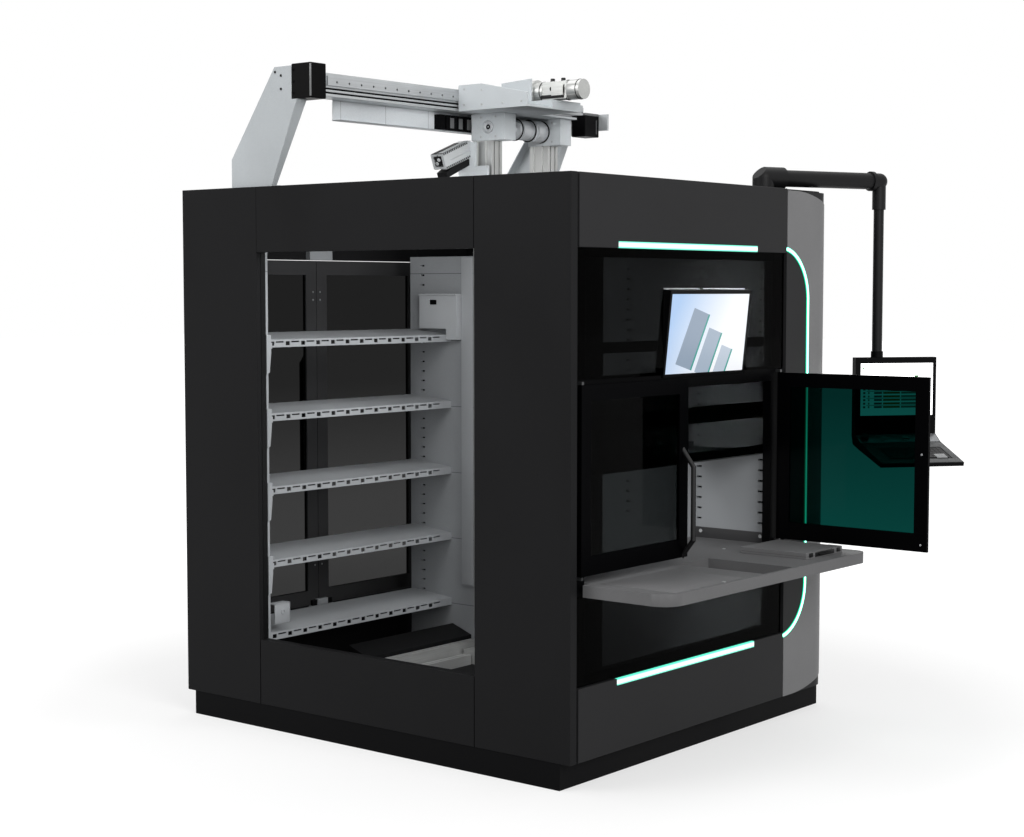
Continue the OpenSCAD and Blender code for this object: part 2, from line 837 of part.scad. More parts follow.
// Folded sheet pillar, drawn at the left end: web in Y and Z with two flanges
module pillar() {
    step_z = beam_z - 15;
    top_z = beam_z + beam_h + 31;
    foot_y = beam_back + 135;
    lean_y = beam_back - 35;
    top_y = beam_back + 109;
    rear_z = body_h + 131;
    web = [[foot_y, body_h], [lean_y, step_z], [beam_back, step_z], [beam_back, top_z], [top_y, top_z],
        [pillar_rear, rear_z], [pillar_rear, body_h]];
    along_x(0, pillar_t) polygon(web);
    intersection() {
        along_x(0, pillar_w) polygon([[foot_y, body_h], [lean_y, step_z], [lean_y + 6, step_z],
            [foot_y + 6, body_h]]);
        upright(lean_y - cut, foot_y + 6 + cut) polygon([[0, body_h], [pillar_w / 2, body_h],
            [pillar_w, step_z], [0, step_z]]);
    }
    along_x(0, pillar_w) polygon([[pillar_rear, body_h], [pillar_rear, rear_z], [top_y, top_z],
        [top_y - 6, top_z], [pillar_rear - 6, rear_z - 3], [pillar_rear - 6, body_h]]);
    slab([0, pillar_w], [foot_y, pillar_rear], [body_h, body_h + 8]);
}

module gantry_pillars() {
    color("#bec3c6") datum() {
        translate([pillar_x, 0, 0]) pillar();
        translate([body_w - pillar_x, 0, 0]) mirror([1, 0, 0]) pillar();
    }
}

module gantry_beam() {
    groove = 8;
    color("#b4b5b3") datum() {
        difference() {
            slab([beam_x0, beam_x1], [beam_y, beam_back], [beam_z, beam_z + beam_h]);
            for (z = [beam_z + 12, beam_z + 30])
                slab([beam_x0 - cut, beam_x1 + cut], [beam_y - cut, beam_y + groove], [z, z + groove]);
            for (y = [beam_y + 30, beam_y + 72])
                slab([beam_x0 - cut, beam_x1 + cut], [y, y + groove],
                    [beam_z + beam_h - groove, beam_z + beam_h + cut]);
        }
        slab([beam_x1, body_w - pillar_x - pillar_t], [beam_y - 160, beam_back - 42],
            [beam_z - 35, beam_z + 50]);
        slab([beam_x1, body_w - pillar_x - pillar_t], [beam_back - 42 - cut, beam_back + 40],
            [beam_z - 14, beam_z + 50]);
    }
}

// Black end cover over the beam's left end, and the chain's housing at the right
module gantry_end_covers() {
    z = [beam_z - 15, beam_z + beam_h + 38];
    color("#121212") datum() {
        slab([pillar_x, beam_x0], [beam_y - 12, beam_back], z);
        slab([beam_x1 - 120, beam_x1], [beam_y - 105, beam_y - 15], [beam_z - 70, beam_z + 40]);
    }
}

module guide_rail() {
    x0 = beam_x0 + 12;
    x1 = beam_x1 - 12;
    z0 = beam_z + 48;
    rail_h = 42;
    count = floor((x1 - x0 - 60) / rail_pitch);
    color("#b9bab8") datum() difference() {
        slab([x0, x1], [beam_y - rail_t, beam_y], [z0, z0 + rail_h]);
        for (i = [0:count]) translate([x0 + 58 + i * rail_pitch, beam_y - rail_t - cut, z0 + rail_h / 2 - 4])
            rotate([-90, 0, 0]) cylinder(h = 6, r = 5.5);
    }
}

module cable_tray() {
    x0 = beam_x0 + 160;
    x1 = body_w - pillar_x - pillar_w - 6;
    lip = 52;
    color("#c3c8cb") datum() {
        slab([x0, x1], [beam_back - sheet, beam_back], [beam_z - tray_drop, beam_z]);
        slab([x0, x1], [beam_back - lip, beam_back - sheet],
            [beam_z - tray_drop, beam_z - tray_drop + sheet]);
    }
}

// Energy chain lying in the tray: links with a gap between each two
module energy_chain() {
    link = 46;
    gap = 9;
    x0 = lift_x - 217;
    z0 = beam_z - tray_drop + sheet;
    height = 76;
    count = floor((beam_x1 - 60 - x0) / link);
    color("#111112") datum() difference() {
        slab([x0, x0 + count * link], [beam_back - 46, beam_back - 8], [z0, z0 + height]);
        for (i = [1:count - 1]) {
            slab([x0 + i * link - gap, x0 + i * link], [beam_back - 46 - cut, beam_back - 38],
                [z0 + 8, z0 + height + cut]);
            slab([x0 + i * link - gap, x0 + i * link], [beam_back - 46 - cut, beam_back - 8 + cut],
                [z0 + height - 8, z0 + height + cut]);
        }
    }
}

// Carriage on the guide rail: back plate, stepped deck, side gusset, a box at the
// front and the plate that the motor's flange stands against
module gantry_carriage() {
    gusset_t = 10;
    back_t = 25;
    low = carriage_z + deck_t;
    top = beam_z + beam_h + 18;
    wide_x = lift_x + lift_span + lift_col_w + 20;
    color("#c1c6c9") datum() {
        slab([carriage_x0, carriage_x1], [carriage_y0, carriage_y1], [carriage_z, low]);
        slab([carriage_x1 - cut, wide_x], [head_y0 - 25, carriage_y1], [carriage_z, low]);
        slab([carriage_x0, wide_x], [carriage_y1 - back_t, carriage_y1], [low - cut, top]);
        along_x(carriage_x0, carriage_x0 + gusset_t) polygon([
            [carriage_y0, low - cut], [carriage_y1 - back_t + cut, low - cut],
            [carriage_y1 - back_t + cut, top], [carriage_y1 - 145, top], [carriage_y0, low + 57]]);
        slab([motor_x - 80, carriage_x1], [carriage_y0, motor_y - 2], [low - cut, motor_z - motor_r]);
        along_x(motor_x - 72, motor_x - 60) polygon([[motor_y - 10, low - cut], [motor_y + 174, low - cut],
            [motor_y + 174, motor_z + 50], [motor_y - 10, motor_z + 62]]);
    }
}

// Drive motor of the carriage, lying front to back: flange, gearbox, body, end bell
motor_x = carriage_x0 + 275;
motor_y = carriage_y0 + 150;
motor_r = 48;
motor_z = carriage_z + deck_t + 84;
module motor_part(y, len, r) {
    translate([motor_x, motor_y - y, motor_z]) rotate([90, 0, 0]) cylinder(h = len, r = r);
}

module gantry_motor() {
    color("#c9cbca") datum() {
        motor_part(-20, 21, 60);
        motor_part(0, 60, motor_r);
        slab([motor_x - 42, motor_x + 42], [motor_y - 205, motor_y - 59], [motor_z - 42, motor_z + 42]);
        slab([motor_x - 52, motor_x - 41], [motor_y - 190, motor_y - 120], [motor_z - 26, motor_z + 26]);
        motor_part(204, 76, motor_r);
    }
}

module lift_columns() {
    color("#b2b3b1") datum() for (k = [0, 1]) translate([lift_x + k * lift_span, lift_y, 0]) difference() {
        slab([0, lift_col_w], [0, lift_col_d], [lift_foot, head_z]);
        for (y = [25, lift_col_d - 40])
            slab([-cut, 7], [y, y + 15], [lift_foot - cut, head_z + cut]);
        for (x = [18, lift_col_w - 26])
            slab([x, x + 8], [-cut, 9], [lift_foot - cut, head_z + cut]);
    }
}

// Drive heads on the columns, bored for the shaft
module lift_heads() {
    bore_r = 33;
    color("#b7bcbf") datum() for (k = [0, 1])
        translate([lift_x - 5 + k * lift_span, head_y0, head_z]) difference() {
            cube([head_w, head_d, lift_head_h]);
            translate([-cut, shaft_y - head_y0, lift_head_h / 2]) rotate([0, 90, 0]) {
                cylinder(h = 9, r = bore_r);
                cylinder(h = head_w + 2 * cut, r = shaft_r + fit);
            }
            translate([head_w - 8, shaft_y - head_y0, lift_head_h / 2]) rotate([0, 90, 0])
                cylinder(h = 9, r = bore_r);
        }
}

// Shaft that drives both lift columns together, with its two couplings
module lift_shaft() {
    x0 = lift_x - 5;
    gap = lift_span - head_w;
    coupling_r = 52;
    coupling_len = 110;
    color("#c6c9ca") datum() translate([x0, shaft_y, shaft_z]) rotate([0, 90, 0]) {
        translate([0, 0, 1]) cylinder(h = lift_span + head_w - 2, r = shaft_r);
        for (k = [1, 2]) translate([0, 0, head_w + gap - 25 - k * coupling_len]) {
            cylinder(h = coupling_len + cut, r = coupling_r - 6 * k);
            translate([0, 0, 25]) cylinder(h = coupling_len - 50, r = coupling_r + 10 - 6 * k);
        }
    }
}

// Lift carriage: a plate across both columns, a cheek beside the left one, and a
// tall ear at the cheek's back that holds the transfer arm
module lift_carriage() {
    x0 = lift_car_x0 - lift_plate;
    arm_y0 = lift_y + lift_arm_set;
    color("#a9aeb1") datum() {
        slab([x0, lift_car_x1], [lift_y - run - lift_plate, lift_y - run], [lift_car_z0, lift_car_z1 - 60]);
        slab([x0, lift_car_x0], [lift_y - run - cut, arm_y0 + 60], [lift_car_z0, lift_car_z1 - 10]);
        slab([x0, lift_car_x0], [arm_y0 - 27, arm_y0 + lift_arm_w], [lift_car_z0 + 60, head_z - 6]);
        for (k = [0, 1]) slab([lift_x + k * lift_span + 12, lift_x + k * lift_span + lift_col_w - 12],
            [lift_y - run - lift_plate - 16, lift_y - run - lift_plate + cut],
            [lift_car_z0 + 40, lift_car_z1 - 70]);
    }
}

// Sloping transfer arm: slotted profile with toothed belts on both edges, on a bracket
module lift_arm() {
    size = 74;
    w = lift_arm_w;
    len = 210;
    slope = 20.5;
    teeth = 15;
    tooth = 7;
    hold_x = lift_car_x0 - lift_plate;
    color("#c4c6c5") datum() translate([hold_x, lift_y + lift_arm_set, head_z - 38]) {
        intersection() {
            rotate([0, -slope, 0]) {
                difference() {
                    slab([-len, 60], [0, w], [-size / 2, size / 2]);
                    slab([-len - cut, 61], [w / 2 - 5, w / 2 + 5], [size / 2 - 12, size / 2 + cut]);
                    slab([-len - cut, 61], [w / 2 - 5, w / 2 + 5], [-size / 2 - cut, -size / 2 + 12]);
                    slab([-len - cut, -len + 36], [14, w - 14], [-size / 2 + 10, size / 2 - 10]);
                    slab([-len + 46, 61], [-cut, 7], [-9, 9]);
                }
                for (i = [0:teeth - 1], side = [-1, 1])
                    slab([-len + 6 + i * 2 * tooth, -len + 6 + (2 * i + 1) * tooth], [4, w / 2 - 8],
                        side > 0 ? [size / 2 - cut, size / 2 + 5] : [-size / 2 - 5, -size / 2 + cut]);
            }
            slab([-2 * len, 0], [-cut, w + cut], [-len, len]);
        }
    }
}

// Fixed foot of the operator arm, with the pivot pin
module arm_base() {
    color("#1e1e1f") datum() translate([arm_x, arm_y, body_h]) {
        cylinder(h = flange_t, r = 78);
        cylinder(h = arm_z - body_h, r = 22);
    }
}

// Moves children into the swung arm's frame, +X along the arm
module on_arm() {
    datum() translate([arm_x, arm_y, 0]) rotate([0, 0, arm_angle]) children();
}

// Arm: mitred elbow, horizontal tube, end elbow, sleeve and drop tube
module arm_tube() {
    low = body_h + flange_t + run;
    elbow_r = 52;
    color("#232324") on_arm() {
        difference() {
            union() {
                translate([0, 0, low]) cylinder(h = arm_z - low, r = elbow_r);
                translate([0, 0, arm_z]) rotate([0, 90, 0]) cylinder(h = 110, r = elbow_r);
                translate([0, 0, arm_z]) sphere(elbow_r);
            }
            translate([0, 0, low - cut]) cylinder(h = arm_z - low + cut + run, r = 22 + fit);
            translate([0, 0, low - 30]) cylinder(h = 30, r = 2 * elbow_r);
            translate([-elbow_r, -elbow_r - cut, arm_z + elbow_r]) rotate([0, 45, 0])
                translate([-40, 0, -40]) cube([80, 2 * elbow_r + 2 * cut, 80]);
        }
        translate([100, 0, arm_z]) rotate([0, 90, 0]) cylinder(h = arm_len - 100, r = arm_r);
        translate([arm_len - 58, 0, arm_z]) rotate([0, 90, 0]) cylinder(h = 18, r = arm_r + 8);
        translate([arm_len, 0, arm_z]) sphere(arm_r);
        translate([arm_len, 0, arm_z - 138]) cylinder(h = 138, r = 33);
        translate([arm_len, 0, console_top + 30]) cylinder(h = arm_z - console_top - 30, r = drop_r);
        translate([arm_len, 0, console_top - 40]) cylinder(h = 80, r = 14);
    }
}

// Moves children to the drop tube: +X across the panel, +Y away from the operator
module on_console() {
    on_arm() translate([arm_len, 0, 0]) rotate([0, 0, console_turn]) children();
}

// Housing: one side profile run across the panel, with a neck for the drop tube
module console_housing() {
    screen_h = 250;
    front = -console_back / 2;
    color("#0b0b0c") on_console() difference() {
        union() {
            along_x(console_x0, console_x0 + console_w) polygon([
                [console_back / 2, console_top], [front, console_top], [front, strip_top],
                [front - strip_run, strip_low], [front - strip_run - tray_d, strip_low - tray_fall],
                [front - strip_run - tray_d + 8, strip_low - tray_fall - 18],
                [front - strip_run + 10, strip_low - 34], [front + 25, strip_low - 12],
                [console_back / 2, strip_low + 30]]);
            translate([0, 0, console_top]) cylinder(h = 30 - run, r = 30);
        }
        translate([0, 0, console_top - 40 - run]) cylinder(h = 80, r = 14 + fit);
        slab([console_x0 + 28, console_x0 + console_w - 18], [front - cut, front + 4],
            [console_top - 30 - screen_h - 8, console_top - 30]);
        console_plane(strip_low, front - strip_run, tray_angle)
            slab([console_x0 + 70, console_x0 + console_w - 40], [-tray_d + 45, -75], [-4, cut]);
        for (x = control_x) control_axis(x) translate([0, 0, -20]) cylinder(h = 60, r = stem_r + stem_gap);
    }
}

// A plane on the panel's slope: children lie flat on it, +Z out of the surface
module console_plane(z, y, angle) {
    translate([0, y, z]) rotate([angle, 0, 0]) children();
}

// Axis of one control, out of the middle of the control strip
module control_axis(x) {
    translate([x, -console_back / 2 - strip_run / 2, (strip_top + strip_low) / 2])
        rotate([strip_angle, 0, 0]) children();
}

module console_screen() {
    screen_h = 250;
    front = -console_back / 2;
    color("#f2f5f2") on_console()
        slab([console_x0 + 28, console_x0 + console_w - 18], [front + 1, front + 4],
            [console_top - 30 - screen_h - 8, console_top - 30]);
}

// Keyboard set into the tray, with its rows of keys
module keyboard() {
    x0 = console_x0 + 70;
    x1 = console_x0 + console_w - 40;
    rows = 5;
    keys = 15;
    key = (x1 - x0 - 16) / keys;
    row = (tray_d - 120 - 16) / rows;
    color("#2c2c2d") on_console() console_plane(strip_low, -console_back / 2 - strip_run, tray_angle) {
        slab([x0, x1], [-tray_d + 45, -75], [-4, 0]);
        for (r = [0:rows - 1], k = [0:keys - 1])
            slab([x0 + 9 + k * key, x0 + 7 + (k + 1) * key],
                [-tray_d + 54 + r * row, -tray_d + 52 + (r + 1) * row], [-0.5, 3]);
    }
}

// Stem of a control in its bore
module stem(top) {
    translate([0, 0, -14]) cylinder(h = 14 + top, r = stem_r);
}

module emergency_stop() {
    color("#2a2a2b") on_console() control_axis(control_x[0]) {
        stem(10);
        translate([0, 0, 9]) cylinder(h = 12, r = 19);
    }
}

module button(x) {
    on_console() control_axis(x) {
        stem(5);
        translate([0, 0, 4]) cylinder(h = 5, r = 14);
    }
}

module control_button_left() {
    color("#b9bbba") button(control_x[1]);
}

module control_button_right() {
    color("#b9bbba") button(control_x[2]);
}

plinth();
floor_pan();
inner_frame();
roof_panel();
left_front_panel();
left_rear_panel();
left_cross_panels();
window_liner();
right_side_panels();
rear_surround();
rear_door_left();
rear_door_right();
rear_pane_left();
rear_pane_right();
rear_handle();
door_hinges();
door_switches();
front_frame();
front_panels();
light_strips();
corner_cover();
corner_shield();
corner_light();
fixed_glass();
hatch_left_frame();
hatch_left_pane();
hatch_handle();
hatch_right_frame();
hatch_right_pane();
display_housing();
display_screen();
worktop();
parts_case();
rack_walls();
front_shelves();
rear_shelves();
lock_box();
floor_ramp();
floor_rails();
gantry_pillars();
gantry_beam();
gantry_end_covers();
guide_rail();
cable_tray();
energy_chain();
gantry_carriage();
gantry_motor();
lift_columns();
lift_heads();
lift_shaft();
lift_carriage();
lift_arm();
arm_base();
arm_tube();
console_housing();
console_screen();
keyboard();
emergency_stop();
control_button_left();
control_button_right();
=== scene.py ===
import math

import bmesh
import bpy
from mathutils import Matrix, Vector


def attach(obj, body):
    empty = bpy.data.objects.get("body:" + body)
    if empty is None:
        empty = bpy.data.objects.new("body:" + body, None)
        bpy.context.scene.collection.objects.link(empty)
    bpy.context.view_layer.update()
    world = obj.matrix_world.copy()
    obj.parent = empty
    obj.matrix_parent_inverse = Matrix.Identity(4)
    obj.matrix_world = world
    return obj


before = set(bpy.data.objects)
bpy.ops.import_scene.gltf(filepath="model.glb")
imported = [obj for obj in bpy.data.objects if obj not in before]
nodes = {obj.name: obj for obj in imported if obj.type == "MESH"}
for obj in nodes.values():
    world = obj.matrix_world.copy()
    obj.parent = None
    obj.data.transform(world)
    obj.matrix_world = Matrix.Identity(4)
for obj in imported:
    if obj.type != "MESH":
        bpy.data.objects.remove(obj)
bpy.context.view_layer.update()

# Studio: the camera stands front left at eye height, as the photograph was taken,
# with soft lamps and a pale floor that keeps the cabinet's shadow.
scene = bpy.context.scene
scene.view_settings.view_transform = "Standard"
CAMERA_AT = Vector((-6.904, -5.608, 2.030))
CAMERA_HEADING = (0.77605, 0.63068)
CAMERA_PITCH = math.radians(-3.973)
lens = bpy.data.cameras.new("camera")
lens.lens = 65.04
lens.sensor_width = 36
lens.clip_end = 200
camera = bpy.data.objects.new("camera", lens)
scene.collection.objects.link(camera)
camera.location = CAMERA_AT
look = Vector((
    CAMERA_HEADING[0] * math.cos(CAMERA_PITCH),
    CAMERA_HEADING[1] * math.cos(CAMERA_PITCH),
    math.sin(CAMERA_PITCH),
))
camera.rotation_mode = "QUATERNION"
camera.rotation_quaternion = look.to_track_quat("-Z", "Y")
scene.camera = camera


def tint(code):
    """A colour written as six hex digits, as linear red, green, blue and alpha."""
    parts = [int(code[i:i + 2], 16) / 255 for i in (0, 2, 4)]
    linear = [p / 12.92 if p <= 0.04045 else ((p + 0.055) / 1.055) ** 2.4 for p in parts]
    return (*linear, 1.0)


def lamp(name, place, target, size, watts, cone=180):
    """A soft rectangular lamp that faces its target, with its cone in degrees; it isn't seen itself."""
    data = bpy.data.lights.new(name, "AREA")
    data.shape = "RECTANGLE"
    data.size, data.size_y = size
    data.energy = watts
    data.spread = math.radians(cone)
    made = bpy.data.objects.new(name, data)
    scene.collection.objects.link(made)
    made.location = place
    made.rotation_mode = "QUATERNION"
    made.rotation_quaternion = (Vector(target) - Vector(place)).to_track_quat("-Z", "Y")
    made.visible_camera = False
    made.visible_transmission = False


lamp("lamp_key", (-3.6, -8.0, 4.6), (0.1, -0.6, 1.5), (4.5, 3.5), 330)
lamp("lamp_side", (-6.5, 3.0, 5.6), (-0.8, 0.4, 1.9), (4.0, 3.0), 200)
lamp("lamp_top", (0.5, -0.5, 7.5), (0.2, 0.0, 2.6), (6.0, 6.0), 170)
lamp("lamp_gantry", (-6.5, -5.5, 3.6), (0.15, 0.25, 2.95), (1.5, 1.0), 1.8, 14)
lamp("lamp_corridor", (-0.55, -0.10, 2.38), (0.25, 0.95, 1.10), (0.9, 0.5), 7)
lamp("lamp_rack", (-0.20, -0.50, 1.35), (0.05, 1.10, 1.30), (0.8, 1.6), 10)
lamp("lamp_niche", (0.10, -0.95, 1.12), (0.55, -0.88, 0.95), (0.4, 0.2), 0.2)
lamp("lamp_shelf_1", (-0.10, -0.90, 1.40), (0.55, -0.88, 1.36), (0.2, 0.05), 2.2, 80)
lamp("lamp_shelf_2", (-0.10, -0.90, 1.62), (0.55, -0.88, 1.52), (0.2, 0.1), 2.2, 80)
lamp("lamp_shelf_3", (-0.10, -0.90, 2.08), (0.55, -0.88, 1.95), (0.2, 0.1), 2.2, 80)
lamp("lamp_below", (-0.10, -0.90, 0.66), (0.55, -0.88, 0.48), (0.3, 0.2), 2.2, 80)


def background_rays(tree):
    """One where a ray from the camera, a mirror or a pane meets the backdrop."""
    path = tree.nodes.new("ShaderNodeLightPath")
    seen = path.outputs["Is Camera Ray"]
    for kind in ("Is Glossy Ray", "Is Transmission Ray"):
        either = tree.nodes.new("ShaderNodeMath")
        either.operation = "MAXIMUM"
        tree.links.new(seen, either.inputs[0])
        tree.links.new(path.outputs[kind], either.inputs[1])
        seen = either.outputs[0]
    return seen


def spread(tree, value, low, high, start=0.0, end=1.0):
    """A value mapped from start..end to low..high."""
    made = tree.nodes.new("ShaderNodeMapRange")
    made.inputs["From Min"].default_value = start
    made.inputs["From Max"].default_value = end
    made.inputs["To Min"].default_value = low
    made.inputs["To Max"].default_value = high
    tree.links.new(value, made.inputs["Value"])
    return made.outputs["Result"]


def maths(tree, kind, a, b=None):
    """A math node on sockets or numbers."""
    made = tree.nodes.new("ShaderNodeMath")
    made.operation = kind
    for i, value in enumerate((a, b)):
        if value is None:
            continue
        if isinstance(value, (int, float)):
            made.inputs[i].default_value = value
        else:
            tree.links.new(value, made.inputs[i])
    return made.outputs[0]


world = bpy.data.worlds.new("studio")
scene.world = world
world.use_nodes = True
sky = world.node_tree.nodes["Background"]
sky.inputs["Color"].default_value = (1, 1, 1, 1)
world.node_tree.links.new(spread(world.node_tree, background_rays(world.node_tree), 0.55, 1.0),
                          sky.inputs["Strength"])

floor_mesh = bpy.data.meshes.new("studio_floor")
FLOOR_HALF = 60
floor_mesh.from_pydata(
    [(x, y, 0) for x, y in ((-1, -1), (1, -1), (1, 1), (-1, 1))], [], [(0, 1, 2, 3)]
)
floor_mesh.transform(Matrix.Diagonal((FLOOR_HALF, FLOOR_HALF, 1, 1)))
studio_floor = bpy.data.objects.new("studio_floor", floor_mesh)
scene.collection.objects.link(studio_floor)
floor_paint = bpy.data.materials.new("studio_floor")
floor_paint.use_nodes = True
tree = floor_paint.node_tree
matt = tree.nodes["Principled BSDF"]
matt.inputs["Base Color"].default_value = (0.40, 0.40, 0.40, 1)
matt.inputs["Roughness"].default_value = 1.0
matt.inputs["Specular IOR Level"].default_value = 0.0
reach = tree.nodes.new("ShaderNodeVectorMath")
reach.operation = "LENGTH"
tree.links.new(tree.nodes.new("ShaderNodeTexCoord").outputs["Object"], reach.inputs[0])
glow = tree.nodes.new("ShaderNodeEmission")
glow.inputs["Color"].default_value = (1, 1, 1, 1)
tree.links.new(maths(tree, "MULTIPLY", background_rays(tree),
                     spread(tree, reach.outputs["Value"], 0.60, 1.0, 2.2, 5.5)),
               glow.inputs["Strength"])
both = tree.nodes.new("ShaderNodeAddShader")
tree.links.new(matt.outputs["BSDF"], both.inputs[0])
tree.links.new(glow.outputs["Emission"], both.inputs[1])
tree.links.new(both.outputs["Shader"], tree.nodes["Material Output"].inputs["Surface"])
floor_mesh.materials.append(floor_paint)

# Base of the cabinet: welded plinth, floor pan and square-tube frame, all powder
# coated black. The coat's fine orange peel is shared by every painted sheet.


def group(name, inputs, outputs):
    """A shader node group with named sockets; returns its tree, input and output nodes."""
    made = bpy.data.node_groups.new(name, "ShaderNodeTree")
    for label, kind, value in inputs:
        socket = made.interface.new_socket(label, in_out="INPUT", socket_type=kind)
        socket.default_value = value
    for label, kind in outputs:
        made.interface.new_socket(label, in_out="OUTPUT", socket_type=kind)
    return made, made.nodes.new("NodeGroupInput"), made.nodes.new("NodeGroupOutput")


def noise(tree, vector, scale, detail=2.0):
    """A noise texture read at a vector; scale is a number or a socket."""
    made = tree.nodes.new("ShaderNodeTexNoise")
    made.inputs["Detail"].default_value = detail
    if isinstance(scale, (int, float)):
        made.inputs["Scale"].default_value = scale
    else:
        tree.links.new(scale, made.inputs["Scale"])
    tree.links.new(vector, made.inputs["Vector"])
    return made.outputs["Fac"]


def multiply(tree, colour, value):
    """A colour socket times a value socket."""
    made = tree.nodes.new("ShaderNodeMix")
    made.data_type = "RGBA"
    made.blend_type = "MULTIPLY"
    made.inputs["Factor"].default_value = 1.0
    tree.links.new(colour, made.inputs["A"])
    tree.links.new(value, made.inputs["B"])
    return made.outputs["Result"]


coat_tree, coat_in, coat_out = group(
    "powder_coat",
    [("Colour", "NodeSocketColor", (0.02, 0.02, 0.02, 1)), ("Grain", "NodeSocketFloat", 700.0),
     ("Cloud", "NodeSocketFloat", 1.6)],
    [("Colour", "NodeSocketColor"), ("Roughness", "NodeSocketFloat"), ("Height", "NodeSocketFloat")],
)
place = coat_tree.nodes.new("ShaderNodeTexCoord").outputs["Object"]
peel = noise(coat_tree, place, coat_in.outputs["Grain"], 1.0)
cloud = noise(coat_tree, place, coat_in.outputs["Cloud"], 3.0)
shade = maths(coat_tree, "MULTIPLY", spread(coat_tree, cloud, 0.90, 1.12, 0.3, 0.7),
              spread(coat_tree, peel, 0.90, 1.10, 0.3, 0.7))
coat_tree.links.new(multiply(coat_tree, coat_in.outputs["Colour"], shade), coat_out.inputs["Colour"])
coat_tree.links.new(spread(coat_tree, cloud, 0.40, 0.54, 0.3, 0.7), coat_out.inputs["Roughness"])
coat_tree.links.new(peel, coat_out.inputs["Height"])

ruled_tree, ruled_in, ruled_out = group(
    "ruled_lines",
    [("Axis", "NodeSocketVector", (0, 0, 1)), ("Start", "NodeSocketFloat", 0.0),
     ("Pitch", "NodeSocketFloat", 0.1), ("Half", "NodeSocketFloat", 0.001)],
    [("Line", "NodeSocketFloat")],
)
along = ruled_tree.nodes.new("ShaderNodeVectorMath")
along.operation = "DOT_PRODUCT"
ruled_tree.links.new(ruled_tree.nodes.new("ShaderNodeTexCoord").outputs["Object"], along.inputs[0])
ruled_tree.links.new(ruled_in.outputs["Axis"], along.inputs[1])
step = maths(ruled_tree, "SUBTRACT", along.outputs["Value"], ruled_in.outputs["Start"])
step = maths(ruled_tree, "DIVIDE", step, ruled_in.outputs["Pitch"])
step = maths(ruled_tree, "MULTIPLY", maths(ruled_tree, "PINGPONG", step, 0.5), ruled_in.outputs["Pitch"])
ruled_tree.links.new(maths(ruled_tree, "LESS_THAN", step, ruled_in.outputs["Half"]),
                     ruled_out.inputs["Line"])


def ruled(tree, axis, start, pitch, half):
    """A line every pitch along an axis, from the shared group."""
    made = tree.nodes.new("ShaderNodeGroup")
    made.node_tree = ruled_tree
    made.inputs["Axis"].default_value = axis
    made.inputs["Start"].default_value = start
    made.inputs["Pitch"].default_value = pitch
    made.inputs["Half"].default_value = half
    return made.outputs["Line"]


def painted(name, colour, specular=0.15, bump=0.12, grain=700.0, cloud=1.6, lines=None):
    """Powder-coated sheet: the shared coat in its own material, with folded seams if it has any."""
    made = bpy.data.materials.new(name)
    made.use_nodes = True
    tree = made.node_tree
    shader = tree.nodes["Principled BSDF"]
    shader.inputs["Specular IOR Level"].default_value = specular
    coat = tree.nodes.new("ShaderNodeGroup")
    coat.node_tree = coat_tree
    coat.inputs["Colour"].default_value = tint(colour)
    coat.inputs["Grain"].default_value = grain
    coat.inputs["Cloud"].default_value = cloud
    finish = coat.outputs["Colour"]
    height = coat.outputs["Height"]
    if lines:
        axis, start, pitch, half, depth, front = lines
        line = ruled(tree, axis, start, pitch, half)
        axes = tree.nodes.new("ShaderNodeSeparateXYZ")
        tree.links.new(tree.nodes.new("ShaderNodeTexCoord").outputs["Object"], axes.inputs[0])
        line = maths(tree, "MULTIPLY", line, maths(tree, "GREATER_THAN", axes.outputs["Y"], front))
        finish = multiply(tree, finish, spread(tree, line, 1.0, depth))
        height = maths(tree, "SUBTRACT", height, line)
    raised = tree.nodes.new("ShaderNodeBump")
    raised.inputs["Strength"].default_value = bump
    raised.inputs["Distance"].default_value = 0.0004
    tree.links.new(finish, shader.inputs["Base Color"])
    tree.links.new(coat.outputs["Roughness"], shader.inputs["Roughness"])
    tree.links.new(height, raised.inputs["Height"])
    tree.links.new(raised.outputs["Normal"], shader.inputs["Normal"])
    return made


def dress(material, *names):
    """Gives CAD nodes their material."""
    for name in names:
        mesh = nodes[name].data
        mesh.materials.clear()
        mesh.materials.append(material)


def ease_edges(width, *names):
    """Breaks the sharp edges of folded or machined CAD nodes, without moving their faces."""
    for name in names:
        weld = nodes[name].modifiers.new("weld", "WELD")
        weld.merge_threshold = 0.00002
        edge = nodes[name].modifiers.new("edge", "BEVEL")
        edge.width = width
        edge.segments = 2
        edge.limit_method = "ANGLE"
        edge.angle_limit = math.radians(40)
        edge.harden_normals = True


plinth_coat = painted("plinth_coat", "0f0f10", 0.03)
frame_coat = painted("frame_coat", "131314", 0.08)
dress(plinth_coat, "plinth")
dress(frame_coat, "floor_pan", "inner_frame")
ease_edges(0.002, "plinth")

# Outer panels: folded steel sheet hung on the frame with open seams between them,
# in a fine-textured dark grey powder coat. The front sheets take a lighter copy of that coat,
# painted light for the brighter light on the front faces.
panel_coat = painted("panel_coat", "1b1b1c", 0.05)
# Painted light: the front sheets are a lighter copy of the side panels' coat.
front_lit_coat = painted("front_lit_coat", "29292a", 0.06)
roof_coat = painted("roof_coat", "242425", 0.06)
dress(panel_coat, "left_front_panel", "left_rear_panel", "left_cross_panels", "right_side_panels",
      "rear_surround")
dress(front_lit_coat, "front_panels")
dress(roof_coat, "roof_panel")
ease_edges(0.0025, "left_front_panel", "left_rear_panel", "left_cross_panels", "right_side_panels",
           "rear_surround", "front_panels", "roof_panel")

# Window lining: a black frame of folded sheet that closes the cut edges of the
# side window, screwed to the inner frame from behind.
liner_coat = painted("liner_coat", "0b0b0c", 0.1)
dress(liner_coat, "window_liner")
ease_edges(0.0015, "window_liner")

